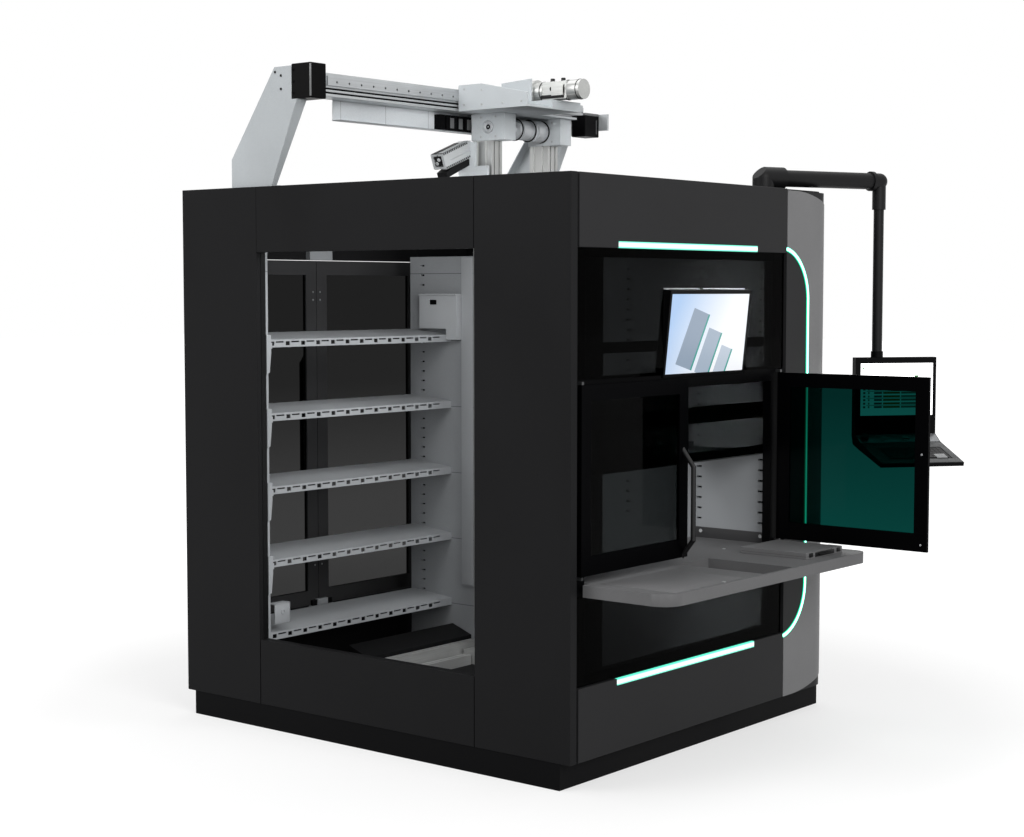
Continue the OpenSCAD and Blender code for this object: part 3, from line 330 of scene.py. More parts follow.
# Racks: folded and slotted sheet in a light grey coat, with sloping shelves whose
# front lips are punched, hung on brackets at their left ends. A lock box with a black
# bolt sits on the rear wall, and a switch between black blocks at the doors' foot.
RACK_SEAMS = ((0, 0, 1), 0.400, 0.343, 0.0016, 0.35, 0.3)
rack_coat = painted("rack_coat", "9a9da0", 0.2, 0.06, lines=RACK_SEAMS)
shelf_coat = painted("shelf_coat", "9da0a3", 0.2, 0.06)
# Painted shade: the front shelves take a darker copy of the shelf grey, where they lie in shadow.
front_shelf_shaded_coat = painted("front_shelf_shaded_coat", "6b6e71", 0.2, 0.06)
# The lock box and the post strip share this lighter grey; on the post strip it is a painted highlight.
box_and_post_highlight_coat = painted("box_and_post_highlight_coat", "b4b7ba", 0.2, 0.06)
dress(rack_coat, "rack_walls")
dress(box_and_post_highlight_coat, "lock_box")
dress(shelf_coat, "rear_shelves")
dress(front_shelf_shaded_coat, "front_shelves")
ease_edges(0.001, "lock_box")
DATUM = Matrix.Translation((-1.055, -1.155, 0.0))


def join(shape, part, place):
    """Sets a part into a shape at its place."""
    part.transform(place)
    held = bpy.data.meshes.new("held")
    part.to_mesh(held)
    part.free()
    shape.from_mesh(held)
    bpy.data.meshes.remove(held)


def bar(shape, low, high, place=DATUM, ease=0.8):
    """A bar or plate between two corners, in millimetres, with its edges eased."""
    part = bmesh.new()
    bmesh.ops.create_cube(part, size=1.0)
    bmesh.ops.scale(part, vec=[(b - a) / 1000 for a, b in zip(low, high)], verts=part.verts)
    bmesh.ops.translate(part, vec=[(a + b) / 2000 for a, b in zip(low, high)], verts=part.verts)
    bmesh.ops.bevel(part, geom=part.edges[:], offset=ease / 1000, segments=2, profile=0.5,
                    affect="EDGES")
    join(shape, part, place)


def cut_plate(shape, outline, low, high, place=DATUM):
    """A flat plate: an outline of (across, up) in millimetres, thick from low to high along Y."""
    part = bmesh.new()
    front = [part.verts.new((x / 1000, low / 1000, z / 1000)) for x, z in outline]
    back = [part.verts.new((x / 1000, high / 1000, z / 1000)) for x, z in outline]
    part.faces.new(front)
    part.faces.new(list(reversed(back)))
    for i in range(len(outline)):
        j = (i + 1) % len(outline)
        part.faces.new((front[j], front[i], back[i], back[j]))
    bmesh.ops.recalc_face_normals(part, faces=part.faces[:])
    join(shape, part, place)


def turned(shape, foot, axis, profile, place=DATUM, sides=24, hollow=False):
    """A turned form: rings of (radius, height) in millimetres from its foot along an axis."""
    part = bmesh.new()
    rings = []
    for radius, height in profile:
        rings.append([
            part.verts.new((radius * math.cos(a) / 1000, radius * math.sin(a) / 1000, height / 1000))
            for a in (2 * math.pi * i / sides for i in range(sides))
        ])
    pairs = list(zip(rings, rings[1:]))
    if hollow:
        pairs.append((rings[-1], rings[0]))
    else:
        part.faces.new(rings[0])
        part.faces.new(rings[-1])
    for lower, upper in pairs:
        for i in range(sides):
            j = (i + 1) % sides
            part.faces.new((lower[i], lower[j], upper[j], upper[i]))
    bmesh.ops.recalc_face_normals(part, faces=part.faces[:])
    point = Matrix.Translation(Vector(foot) / 1000)
    join(shape, part, place @ point @ Vector(axis).to_track_quat("Z", "Y").to_matrix().to_4x4())


def piece(name, shape, material, body):
    """Turns a finished shape into a piece of the object that rides on a body."""
    mesh = bpy.data.meshes.new(name)
    shape.to_mesh(mesh)
    shape.free()
    mesh.materials.append(material)
    for face in mesh.polygons:
        face.use_smooth = True
    mesh.set_sharp_from_angle(angle=math.radians(32))
    made = bpy.data.objects.new(name, mesh)
    scene.collection.objects.link(made)
    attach(made, body)


shape = bmesh.new()
SHELF_FRONT_LEVELS = (1799, 1456, 1113, 770)
for front_z in SHELF_FRONT_LEVELS:
    cut_plate(shape, [(64, front_z + 24), (92, front_z + 24), (92, front_z - 60), (82, front_z - 150),
                      (64, front_z - 158)], 1811, 1815.8)
    bar(shape, (92, 1812, front_z - 40), (100, 1815, front_z - 12))
piece("shelf_brackets", shape, shelf_coat, "cabinet")
shape = bmesh.new()
bar(shape, (112, 1822, 466), (212, 1827.8, 560), ease=1.5)
bar(shape, (112, 1822, 556), (212, 1872, 561), ease=1.0)
bar(shape, (207, 1822, 466), (212, 1872, 560), ease=1.0)
turned(shape, (165, 1822, 520), (0, -1, 0), [(14, -0.5), (14, 2), (12, 3), (7, 3), (7, 0.5)])
piece("shelf_sensor_bracket", shape, shelf_coat, "cabinet")
# A thin lighter strip on the rear rack wall's front flange: a painted highlight where that edge catches
# the light.
shape = bmesh.new()
bar(shape, (1370.8, 1674, 510), (1372.2, 1750, 2196), ease=0.4)
piece("rack_post_highlight", shape, box_and_post_highlight_coat, "cabinet")
shape = bmesh.new()
bar(shape, (1341, 1893, 1955), (1352.5, 1939, 1979), ease=1.0)
for x in (800, 908):
    bar(shape, (x, 2266, 412), (x + 32, 2282, 442), ease=1.5)
piece("lock_parts", shape, liner_coat, "cabinet")
shape = bmesh.new()
bar(shape, (834, 2262, 410), (906, 2282.5, 446), ease=1.5)
bar(shape, (846, 2258, 416), (894, 2263, 438), ease=1.0)
piece("low_switch", shape, shelf_coat, "cabinet")

# Rear doors: dark framed leaves with ribbed smoked panes, hung on steel hinge
# brackets, with safety switches at the meeting stiles and a long bow handle.
door_coat = painted("door_coat", "353536", 0.15)
handle_coat = painted("handle_coat", "131314", 0.3)
dress(door_coat, "rear_door_left", "rear_door_right")
dress(handle_coat, "rear_handle", "hatch_handle")
ease_edges(0.0015, "rear_door_left", "rear_door_right")

metal_tree, metal_in, metal_out = group(
    "drawn_metal",
    [("Colour", "NodeSocketColor", (0.5, 0.5, 0.5, 1)),
     ("Stretch", "NodeSocketVector", (4.0, 400.0, 400.0))],
    [("Colour", "NodeSocketColor"), ("Roughness", "NodeSocketFloat"), ("Height", "NodeSocketFloat")],
)
place = metal_tree.nodes.new("ShaderNodeTexCoord").outputs["Object"]
pull = metal_tree.nodes.new("ShaderNodeVectorMath")
pull.operation = "MULTIPLY"
metal_tree.links.new(place, pull.inputs[0])
metal_tree.links.new(metal_in.outputs["Stretch"], pull.inputs[1])
lines = noise(metal_tree, pull.outputs["Vector"], 1.0, 3.0)
patch = noise(metal_tree, place, 5.0, 3.0)
shade = maths(metal_tree, "MULTIPLY", spread(metal_tree, lines, 0.90, 1.10, 0.3, 0.7),
              spread(metal_tree, patch, 0.92, 1.06, 0.3, 0.7))
metal_tree.links.new(multiply(metal_tree, metal_in.outputs["Colour"], shade), metal_out.inputs["Colour"])
metal_tree.links.new(spread(metal_tree, lines, 0.30, 0.46, 0.3, 0.7), metal_out.inputs["Roughness"])
metal_tree.links.new(lines, metal_out.inputs["Height"])


def drawn(name, colour, stretch, metallic=0.75, bump=0.05):
    """Drawn or ground metal: lines along one direction, from the shared group."""
    made = bpy.data.materials.new(name)
    made.use_nodes = True
    tree = made.node_tree
    shader = tree.nodes["Principled BSDF"]
    shader.inputs["Metallic"].default_value = metallic
    metal = tree.nodes.new("ShaderNodeGroup")
    metal.node_tree = metal_tree
    metal.inputs["Colour"].default_value = tint(colour)
    metal.inputs["Stretch"].default_value = stretch
    raised = tree.nodes.new("ShaderNodeBump")
    raised.inputs["Strength"].default_value = bump
    raised.inputs["Distance"].default_value = 0.0003
    tree.links.new(metal.outputs["Colour"], shader.inputs["Base Color"])
    tree.links.new(metal.outputs["Roughness"], shader.inputs["Roughness"])
    tree.links.new(metal.outputs["Height"], raised.inputs["Height"])
    tree.links.new(raised.outputs["Normal"], shader.inputs["Normal"])
    return made


hinge_steel = drawn("hinge_steel", "4a4b4c", (300.0, 300.0, 6.0))
switch_grey = painted("switch_grey", "8d9093", 0.3, 0.08, 900.0)
screw_steel = drawn("screw_steel", "aeb0b1", (200.0, 200.0, 200.0), 0.85)
dress(hinge_steel, "door_hinges")
dress(switch_grey, "door_switches")
ease_edges(0.001, "door_hinges", "door_switches")


def screw_heads(name, spots, axis, radius, height, material, body):
    """Socket-head screws set at their spots, each with an eased rim and a socket."""
    shape = bmesh.new()
    for at in spots:
        turned(shape, at, axis, [(radius, -0.5), (radius, height - 0.6), (radius - 0.6, height),
                                 (radius * 0.5, height), (radius * 0.44, height * 0.35)], sides=20)
    piece(name, shape, material, body)


STILE_SCREW_LEVELS = (620, 660, 1980, 2020)
DOOR_INSIDE = 2284
for side, x in (("left", 835), ("right", 885)):
    screw_heads(f"rear_stile_screws_{side}", [(x, DOOR_INSIDE, z) for z in STILE_SCREW_LEVELS],
                (0, -1, 0), 5, 2, screw_steel, f"rear_{side}")

# Floor gear: slotted aluminium profiles along the lift's path, bolted down on the
# floor pan, and a black moulded ramp in front of the rear rack.
floor_profile = drawn("floor_profile", "b9bab9", (4.0, 300.0, 300.0), 0.4)
ramp_coat = painted("ramp_coat", "0d0d0e", 0.2)
dress(floor_profile, "floor_rails")
dress(ramp_coat, "floor_ramp")
ease_edges(0.0015, "floor_ramp")

# Front: a black welded frame that carries the dark glass above and below the hatch
# and a raised pane with a grey rail in it. The rear doors have the same smoked glass.
front_frame_coat = painted("front_frame_coat", "030304", 0.03)
dress(front_frame_coat, "front_frame")


def glass(name, colour, ior=1.05, low=None):
    """Tinted pane; where a low tint is given, it is darker towards its top as painted shade; smudges
    change its gloss.
    """
    made = bpy.data.materials.new(name)
    made.use_nodes = True
    tree = made.node_tree
    shader = tree.nodes["Principled BSDF"]
    shader.inputs["Base Color"].default_value = tint(colour)
    shader.inputs["Transmission Weight"].default_value = 1.0
    shader.inputs["IOR"].default_value = ior
    place = tree.nodes.new("ShaderNodeTexCoord").outputs["Object"]
    tree.links.new(spread(tree, noise(tree, place, 9.0, 4.0), 0.0, 0.05, 0.4, 0.8),
                   shader.inputs["Roughness"])
    # Painted shade: the tint runs from the lighter low tint at the foot to the darker given colour at
    # the top.
    if low:
        axes = tree.nodes.new("ShaderNodeSeparateXYZ")
        tree.links.new(place, axes.inputs[0])
        blend = tree.nodes.new("ShaderNodeMix")
        blend.data_type = "RGBA"
        blend.inputs["A"].default_value = tint(low)
        blend.inputs["B"].default_value = tint(colour)
        tree.links.new(spread(tree, axes.outputs["Z"], 0.0, 1.0, 0.95, 1.55), blend.inputs["Factor"])
        tree.links.new(blend.outputs["Result"], shader.inputs["Base Color"])
    return made


smoked_glass = glass("smoked_glass", "2e2f2f")
# The rear panes' darker top is painted shade.
rear_glass = glass("rear_glass", "202020", 1.05, "343434")
rail_coat = painted("rail_coat", "77797b", 0.2, 0.06)
dress(smoked_glass, "fixed_glass")
dress(rear_glass, "rear_pane_left", "rear_pane_right")
shape = bmesh.new()
bar(shape, (96, 71.5, 1266), (1600, 88, 1270), ease=0.5)
bar(shape, (96, 71.5, 1266), (1600, 74, 1290), ease=0.5)
piece("pane_rail", shape, rail_coat, "cabinet")

# Hatch: two framed glass leaves on pins. The left one is closed and carries a bow
# handle, the right one stands open and its tint shows teal against the light.
leaf_coat = painted("leaf_coat", "020203", 0.02)
leaf_glass = glass("leaf_glass", "404343", 1.06)
# The open leaf's darker top is painted shade; its teal is the glass's own tint.
open_leaf_glass = glass("open_leaf_glass", "032320", 1.05, "063631")
dress(leaf_coat, "hatch_left_frame", "hatch_right_frame")
dress(leaf_glass, "hatch_left_pane")
dress(open_leaf_glass, "hatch_right_pane")
ease_edges(0.0015, "hatch_left_frame", "hatch_right_frame")
LEAF_SCREW_LEVELS = (903, 1305)
screw_heads("open_leaf_screws", [(1600, -728, z) for z in LEAF_SCREW_LEVELS], (-1, 0, 0),
            5, 2, screw_steel, "hatch_right")
screw_heads("closed_leaf_screws", [(x, 17, z) for x in (108, 818) for z in LEAF_SCREW_LEVELS],
            (0, 1, 0), 5, 2, screw_steel, "hatch_left")

# Light strips: milky diffusers with a mint rim, pressed into slots of the fascia
# and the skirt. A curved one follows the rounded corner.
lit_tree, lit_in, lit_out = group(
    "lit_diffuser",
    [("Offset", "NodeSocketFloat", 0.0), ("Half", "NodeSocketFloat", 0.01),
     ("Core", "NodeSocketColor", (1, 1, 1, 1)), ("Rim", "NodeSocketColor", (0.1, 0.8, 0.5, 1))],
    [("Colour", "NodeSocketColor")],
)
ratio = maths(lit_tree, "DIVIDE", lit_in.outputs["Offset"], lit_in.outputs["Half"])
blend = lit_tree.nodes.new("ShaderNodeMix")
blend.data_type = "RGBA"
lit_tree.links.new(spread(lit_tree, ratio, 0.0, 1.0, 0.35, 0.90), blend.inputs["Factor"])
lit_tree.links.new(lit_in.outputs["Core"], blend.inputs["A"])
lit_tree.links.new(lit_in.outputs["Rim"], blend.inputs["B"])
lit_tree.links.new(blend.outputs["Result"], lit_out.inputs["Colour"])


def diffuser(name, core, rim, half, strength, offset):
    """A lit diffuser; offset builds the distance from the middle of the strip."""
    made = bpy.data.materials.new(name)
    made.use_nodes = True
    tree = made.node_tree
    shader = tree.nodes["Principled BSDF"]
    shader.inputs["Base Color"].default_value = (0.02, 0.03, 0.03, 1)
    shader.inputs["Emission Strength"].default_value = strength
    axes = tree.nodes.new("ShaderNodeSeparateXYZ")
    place = tree.nodes.new("ShaderNodeTexCoord").outputs["Object"]
    tree.links.new(place, axes.inputs[0])
    lit = tree.nodes.new("ShaderNodeGroup")
    lit.node_tree = lit_tree
    lit.inputs["Half"].default_value = half
    lit.inputs["Core"].default_value = core
    lit.inputs["Rim"].default_value = rim
    tree.links.new(offset(tree, axes.outputs["X"], axes.outputs["Z"]), lit.inputs["Offset"])
    tree.links.new(lit.outputs["Colour"], shader.inputs["Emission Color"])
    tree.links.new(spread(tree, noise(tree, place, 300.0), 0.35, 0.5), shader.inputs["Roughness"])
    return made


STRIP_MIDDLES = (2.2155, 0.4035)
ARC_MIDDLE_X = 0.560
ARC_MIDDLES_Z = (0.640, 1.984)
ARC_RADIUS = 0.240


def strip_offset(tree, x, z):
    """Height above or below the middle of the nearer strip."""
    ends = [maths(tree, "ABSOLUTE", maths(tree, "SUBTRACT", z, middle)) for middle in STRIP_MIDDLES]
    return maths(tree, "MINIMUM", *ends)


def corner_offset(tree, x, z):
    """Distance from the middle of the curved line: straight up, with an arc at each end."""
    straight = maths(tree, "MINIMUM", maths(tree, "MAXIMUM", z, ARC_MIDDLES_Z[0]), ARC_MIDDLES_Z[1])
    rise = maths(tree, "SUBTRACT", z, straight)
    run = maths(tree, "SUBTRACT", x, ARC_MIDDLE_X)
    radius = maths(tree, "SQRT", maths(tree, "ADD", maths(tree, "MULTIPLY", rise, rise),
                                       maths(tree, "MULTIPLY", run, run)))
    return maths(tree, "ABSOLUTE", maths(tree, "SUBTRACT", radius, ARC_RADIUS))


strip_light = diffuser("strip_light", (0.9, 1, 0.96, 1), (0.10, 0.80, 0.56, 1),
                       0.0135, 1.3, strip_offset)
line_light = diffuser("line_light", (0.30, 1.0, 0.72, 1), (0.002, 0.16, 0.08, 1),
                      0.010, 6.0, corner_offset)
dress(strip_light, "light_strips")
dress(line_light, "corner_light")

# Rounded corner: a rolled sheet cover with a mid grey shield laid over it outside
# the curved light line, both hooked on the frame from inside.
corner_coat = painted("corner_coat", "29292a", 0.06)
shield_coat = painted("shield_coat", "7b7b7c", 0.15)
dress(corner_coat, "corner_cover")
dress(shield_coat, "corner_shield")

# Display above the hatch: a black moulded housing, tilted forward on the header,
# with a lit panel that shows a plain pale picture of slanted sheets.
black_plastic = painted("black_plastic", "050506", 0.05, 0.1, 1500.0)
dress(black_plastic, "display_housing")
ease_edges(0.002, "display_housing")


def across(tree, origin, direction):
    """Distance of a point from an origin along a direction, in metres."""
    away = tree.nodes.new("ShaderNodeVectorMath")
    away.operation = "SUBTRACT"
    away.inputs[1].default_value = origin
    tree.links.new(tree.nodes.new("ShaderNodeTexCoord").outputs["Object"], away.inputs[0])
    made = tree.nodes.new("ShaderNodeVectorMath")
    made.operation = "DOT_PRODUCT"
    made.inputs[1].default_value = direction
    tree.links.new(away.outputs["Vector"], made.inputs[0])
    return made.outputs["Value"]


def within(tree, value, low, high):
    """One where a value lies between two limits."""
    made = tree.nodes.new("ShaderNodeMath")
    made.operation = "COMPARE"
    made.inputs[1].default_value = (low + high) / 2
    made.inputs[2].default_value = (high - low) / 2
    tree.links.new(value, made.inputs[0])
    return made.outputs[0]


def over(tree, under, mask, colour):
    """Lays a colour over another where a mask is one."""
    made = tree.nodes.new("ShaderNodeMix")
    made.data_type = "RGBA"
    tree.links.new(mask, made.inputs["Factor"])
    if isinstance(under, tuple):
        made.inputs["A"].default_value = under
    else:
        tree.links.new(under, made.inputs["A"])
    made.inputs["B"].default_value = colour
    return made.outputs["Result"]


def lit_panel(name, strength):
    """A screen: black glass that glows; returns the material, its tree and its shader."""
    made = bpy.data.materials.new(name)
    made.use_nodes = True
    shader = made.node_tree.nodes["Principled BSDF"]
    shader.inputs["Base Color"].default_value = (0.01, 0.01, 0.01, 1)
    shader.inputs["Roughness"].default_value = 0.3
    shader.inputs["Emission Strength"].default_value = strength
    return made, made.node_tree, shader


DISPLAY_TILT = math.radians(6.1)
DISPLAY_FOOT = (-0.377, -1.133, 1.6535)
display_glow, tree, shader = lit_panel("display_glow", 1.0)
right = across(tree, DISPLAY_FOOT, (1, 0, 0))
up = across(tree, DISPLAY_FOOT, (0, -math.sin(DISPLAY_TILT), math.cos(DISPLAY_TILT)))
lean = maths(tree, "SUBTRACT", right, maths(tree, "MULTIPLY", up, 0.45))
sky_blend = spread(tree, maths(tree, "SUBTRACT", right, maths(tree, "MULTIPLY", up, 0.6)),
                   0.0, 1.0, -0.12, 0.30)
picture = over(tree, tint("a9c8ee"), sky_blend, tint("f6f9fd"))
SHEETS = ((0.06, 0.19, 0.300, "8f9fb2"), (0.23, 0.34, 0.245, "a3b2c3"), (0.38, 0.47, 0.195, "bcc8d6"))
for low, high, top, colour in SHEETS:
    tall = within(tree, maths(tree, "ADD", up, maths(tree, "MULTIPLY", right, 0.25)), 0.08, top + 0.05)
    sheet = maths(tree, "MULTIPLY", within(tree, lean, low, high), tall)
    picture = over(tree, picture, sheet, tint(colour))
    edge = maths(tree, "MULTIPLY", within(tree, lean, high, high + 0.012), tall)
    picture = over(tree, picture, edge, tint("2f9a8e"))
pixel_gaps = ruled(tree, (1, 0, 0), 0.0, 0.004, 0.0006)
tree.links.new(multiply(tree, picture, spread(tree, pixel_gaps, 1.0, 0.93)),
               shader.inputs["Emission Color"])
dress(display_glow, "display_screen")

# Worktop: a thick board in grey laminate with a deep pocket, an inlaid mat and a
# folded upstand in the niche. A flat case with a carrying handle lies on it.
worktop_coat = painted("worktop_coat", "656566", 0.15, 0.1)
# Painted shade: a darker grey for the upstand, where it lies in shadow in the niche.
upstand_shade_coat = painted("upstand_shade_coat", "3f3f40", 0.15, 0.1)
mat_coat = painted("mat_coat", "6b6b6c", 0.12, 0.2, 1200.0)
CASE_SEAM = ((0, 0, 1), 0.8515, 1.0, 0.0008, 0.3, -9.0)
case_coat = painted("case_coat", "6a6a6b", 0.5, 0.06, 900.0, 1.6, CASE_SEAM)
latch_black = painted("latch_black", "0d0d0e", 0.2, 0.1, 1500.0)
dress(worktop_coat, "worktop")
dress(case_coat, "parts_case")
ease_edges(0.002, "worktop", "parts_case")
shape = bmesh.new()
bar(shape, (150, -405, 839.6), (652, -40, 841.2), ease=0.6)
piece("worktop_mat", shape, mat_coat, "cabinet")
# A thin facing on the upstand's inner face, in that darker grey, is painted shade.
shape = bmesh.new()
bar(shape, (1596.3, 74, 842), (1597.2, 478, 892), ease=0.3)
piece("upstand_painted_shade", shape, upstand_shade_coat, "cabinet")
WORKTOP_Z = 840
UPSTAND_X = 1597
screw_heads("worktop_pins", [(1331, 124, WORKTOP_Z), (512, -399, WORKTOP_Z)], (0, 0, 1), 9, 2.5,
            screw_steel, "cabinet")
screw_heads("upstand_screws", [(UPSTAND_X, 426, 874), (UPSTAND_X, 93, 874)], (-1, 0, 0), 9, 3,
            screw_steel, "cabinet")
shape = bmesh.new()
bar(shape, (1345, -346.5, 844), (1515, -345, 864), ease=0.5)
bar(shape, (1372, -356, 850), (1488, -350, 858), ease=2.0)
for x in (1376, 1476):
    bar(shape, (x, -355, 851), (x + 8, -345, 857), ease=1.0)
for x in (1292, 1538):
    bar(shape, (x, -349, 847), (x + 30, -345, 865), ease=1.0)
piece("case_handle", shape, latch_black, "cabinet")

# Gantry: folded pale grey pillars, an extruded aluminium beam with a ground guide
# rail, black end covers, a seamed cable tray and an energy chain lying in it.
gantry_coat = painted("gantry_coat", "bbc0c3", 0.25, 0.06)
TRAY_SEAMS = ((1, 0, 0), -0.715, 0.304, 0.0015, 0.55, -9.0)
tray_coat = painted("tray_coat", "d8dcdf", 0.25, 0.06, lines=TRAY_SEAMS)
beam_metal = drawn("beam_metal", "b4b7b9", (3.0, 300.0, 300.0), 0.5)
rail_metal = drawn("rail_metal", "b0b3b5", (3.0, 500.0, 500.0), 0.55)
trim_metal_and_painted_light = drawn("trim_metal_and_painted_light", "6c6d6e", (300.0, 300.0, 4.0), 0.4)
cover_plastic = painted("cover_plastic", "050506", 0.05, 0.1, 1500.0)
dress(gantry_coat, "gantry_pillars")
dress(tray_coat, "cable_tray")
dress(beam_metal, "gantry_beam")
dress(rail_metal, "guide_rail")
dress(cover_plastic, "gantry_end_covers", "energy_chain")
ease_edges(0.002, "gantry_pillars", "cable_tray")
ease_edges(0.004, "gantry_end_covers")
ease_edges(0.0008, "gantry_beam", "guide_rail")
LEFT_END_X = 30
RIGHT_END_X = 2072
PILLAR_SCREWS = ((1666, 2994), (1666, 2934), (1703, 3012))
screw_heads("pillar_screws", [(LEFT_END_X, y, z) for y, z in PILLAR_SCREWS],
            (-1, 0, 0), 6, 3, handle_coat, "cabinet")
screw_heads("end_cover_screws", [(LEFT_END_X, 1588, z) for z in (2910, 2962, 3014)], (-1, 0, 0), 6, 3,
            black_plastic, "cabinet")
screw_heads("end_plate_screws", [(RIGHT_END_X, y, z) for y in (1355, 1535) for z in (2885, 2930)],
            (1, 0, 0), 6, 2.5, screw_steel, "cabinet")
# A metal bar on top of the right cover; a thin strip down the left cover's corner edge is a painted
# highlight on that edge, and a thin light strip stands on the right cover's front.
shape = bmesh.new()
bar(shape, (29.2, 1476.8, 2892), (35, 1485, 3036), ease=1.2)
bar(shape, (2034, 1384, 2846), (2038, 1386, 2918), ease=0.6)
bar(shape, (1942, 1386, 2939.5), (2058, 1402, 2952), ease=1.0)
piece("end_cover_bar_and_edge_highlights", shape, trim_metal_and_painted_light, "cabinet")
shape = bmesh.new()
for z in (2912.5, 2930.5):
    bar(shape, (128.5, 1494, z), (2059.5, 1498.2, z + 7), ease=0.5)
RAIL_HOLES = [198 + 80 * i for i in range(24)]
HOLE_PLUG = [(5.2, 0), (5.2, 1.5), (4.6, 2), (2.4, 2), (2.4, 1)]
for x in RAIL_HOLES:
    turned(shape, (x, 1483.4, 2965), (0, -1, 0), HOLE_PLUG)
piece("beam_inlays", shape, cover_plastic, "cabinet")
# Painted light: light grey plates in the chain's open links stand in for the lit tray seen through them.
shape = bmesh.new()
CHAIN_WINDOWS = [1062 + 64 * i for i in range(14)]
for x in CHAIN_WINDOWS:
    bar(shape, (x, 1552.6, 2822), (x + 28, 1554.5, 2872), ease=0.6)
piece("chain_windows_painted_light", shape, trim_metal_and_painted_light, "cabinet")

# Gantry carriage: welded and painted plates that run on the guide rail, with a
# bare drive motor, its flange seal, terminal box and two round plugs.
motor_metal = drawn("motor_metal", "b9bab8", (200.0, 6.0, 200.0), 0.85)
plug_black = painted("plug_black", "101011", 0.25, 0.1, 1500.0)
dress(gantry_coat, "gantry_carriage")
dress(motor_metal, "gantry_motor")
ease_edges(0.0015, "gantry_carriage", "gantry_motor")
MOTOR_X = 1310
MOTOR_Z = 2991
SEAL_RING = [(46.5, 0), (49.5, 1), (49.5, 5), (46.5, 6), (43.5, 6), (43.5, 0)]
ROUND_PLUG = [(13, 0), (13, 9), (11, 10), (11, 20), (9, 22), (5, 22), (5, 14)]
shape = bmesh.new()
for y in (1160, 1014, 942):
    turned(shape, (MOTOR_X, y, MOTOR_Z), (0, -1, 0), SEAL_RING, sides=40, hollow=True)
for y in (1045, 1110):
    turned(shape, (MOTOR_X, y, MOTOR_Z + 39), (0, 0, 1), ROUND_PLUG)
bar(shape, (1264, 1010, 2952), (1276, 1150, 2970), ease=3.0)
for y in (1040, 1085):
    turned(shape, (1270, y, 2998), (-1, 0, 0), [(10, 0), (10, 5), (8, 7), (4, 7), (4, 3)])
piece("motor_seals", shape, plug_black, "carriage")
CARRIAGE_FACE_X = 1035
CARRIAGE_SCREWS = ((1085, 2922), (1200, 2922), (1330, 2922), (1330, 2990), (1440, 2925), (1440, 3000))
screw_heads("carriage_screws", [(CARRIAGE_FACE_X, y, z) for y, z in CARRIAGE_SCREWS],
            (-1, 0, 0), 5, 2.5, screw_steel, "carriage")

# Lift: twin extruded columns hang from painted drive heads under the carriage. A
# cross shaft with couplings joins the heads, and the lift carriage runs below them.
column_metal = drawn("column_metal", "aaabaa", (300.0, 300.0, 3.0))
shaft_metal = drawn("shaft_metal", "c2c5c8", (300.0, 300.0, 300.0), 0.3)
arm_metal = drawn("arm_metal", "bfc2c4", (3.0, 300.0, 300.0), 0.5)
head_coat = painted("head_coat", "c3c8cb", 0.25, 0.06)
belt_black = painted("belt_black", "0e0e0f", 0.15, 0.3, 500.0)
dress(head_coat, "lift_heads")
dress(gantry_coat, "lift_carriage")
dress(column_metal, "lift_columns")
dress(shaft_metal, "lift_shaft")
dress(arm_metal, "lift_arm")
ease_edges(0.0015, "lift_heads", "lift_carriage", "lift_shaft")
ease_edges(0.0008, "lift_columns")
SHAFT_Y = 1427
SHAFT_Z = 2831
for side, x in (("left", 1200), ("right", 1650)):
    spots = [(x, SHAFT_Y + dy, SHAFT_Z + dz) for dy in (-47, 47) for dz in (-48, 48)]
    screw_heads(f"head_screws_{side}", spots, (-1, 0, 0), 5, 1.5, screw_steel, "carriage")
shape = bmesh.new()
turned(shape, (1200, SHAFT_Y, SHAFT_Z), (-1, 0, 0),
       [(28, -6), (28, 1.5), (26, 3), (22, 3), (19, 0), (19, -6)], sides=40, hollow=True)
piece("bearing_ring", shape, shaft_metal, "carriage")
shape = bmesh.new()
turned(shape, (1200, SHAFT_Y, SHAFT_Z), (-1, 0, 0), [(12, -5), (12, 0.2), (11, 1), (5, 1), (5, -2)])
piece("shaft_end", shape, belt_black, "shaft")
shape = bmesh.new()
for x in (1408, 1512, 1618):
    turned(shape, (x, SHAFT_Y, SHAFT_Z), (1, 0, 0), [(50, 0), (56.4, 0), (56.4, 2.5), (50, 2.5)],
           sides=48, hollow=True)
piece("coupling_gaps", shape, belt_black, "shaft")
ARM_SLOPE = math.radians(-20.5)
ARM_PLACE = DATUM @ Matrix.Translation((1.171, 1.515, 2.727)) @ Matrix.Rotation(ARM_SLOPE, 4, "Y")
shape = bmesh.new()
for y, z in ((32, 9), (48, -9)):
    turned(shape, (-211, y, z), (-1, 0, 0), [(9, 0), (9, 2), (8, 3), (4, 3), (4, 1)], ARM_PLACE)
piece("transfer_pulleys", shape, arm_metal, "lift")
shape = bmesh.new()
for low, high in ((37.0, 39.5), (-39.5, -37.0)):
    bar(shape, (-208, 4, low), (-22, 32, high), ARM_PLACE, 0.5)
    bar(shape, (-208, 48, low), (-22, 76, high), ARM_PLACE, 0.5)
BELT_ROLLER = [(3, 0), (9, 0), (9, 4), (7, 5), (7, 45), (9, 46), (9, 50), (3, 50)]
for z in (-17, 17):
    turned(shape, (-200, 15, z), (0, 1, 0), BELT_ROLLER, ARM_PLACE)
bar(shape, (-212, 24, -22), (-188, 56, 22), ARM_PLACE, 2.0)
for x in range(-206, -22, 14):
    for z in (29, -38):
        bar(shape, (x, -1.8, z), (x + 7, 1, z + 9), ARM_PLACE, 0.6)
piece("transfer_belts", shape, belt_black, "lift")
shape = bmesh.new()
cut_plate(shape, [(-205, -58), (-150, -46), (-20, -46), (-20, -76), (-205, -84)], 8, 72, ARM_PLACE)
for x in (-180, -70):
    bar(shape, (x, 30, -47), (x + 14, 50, -41), ARM_PLACE, 0.8)
piece("transfer_guard", shape, frame_coat, "lift")

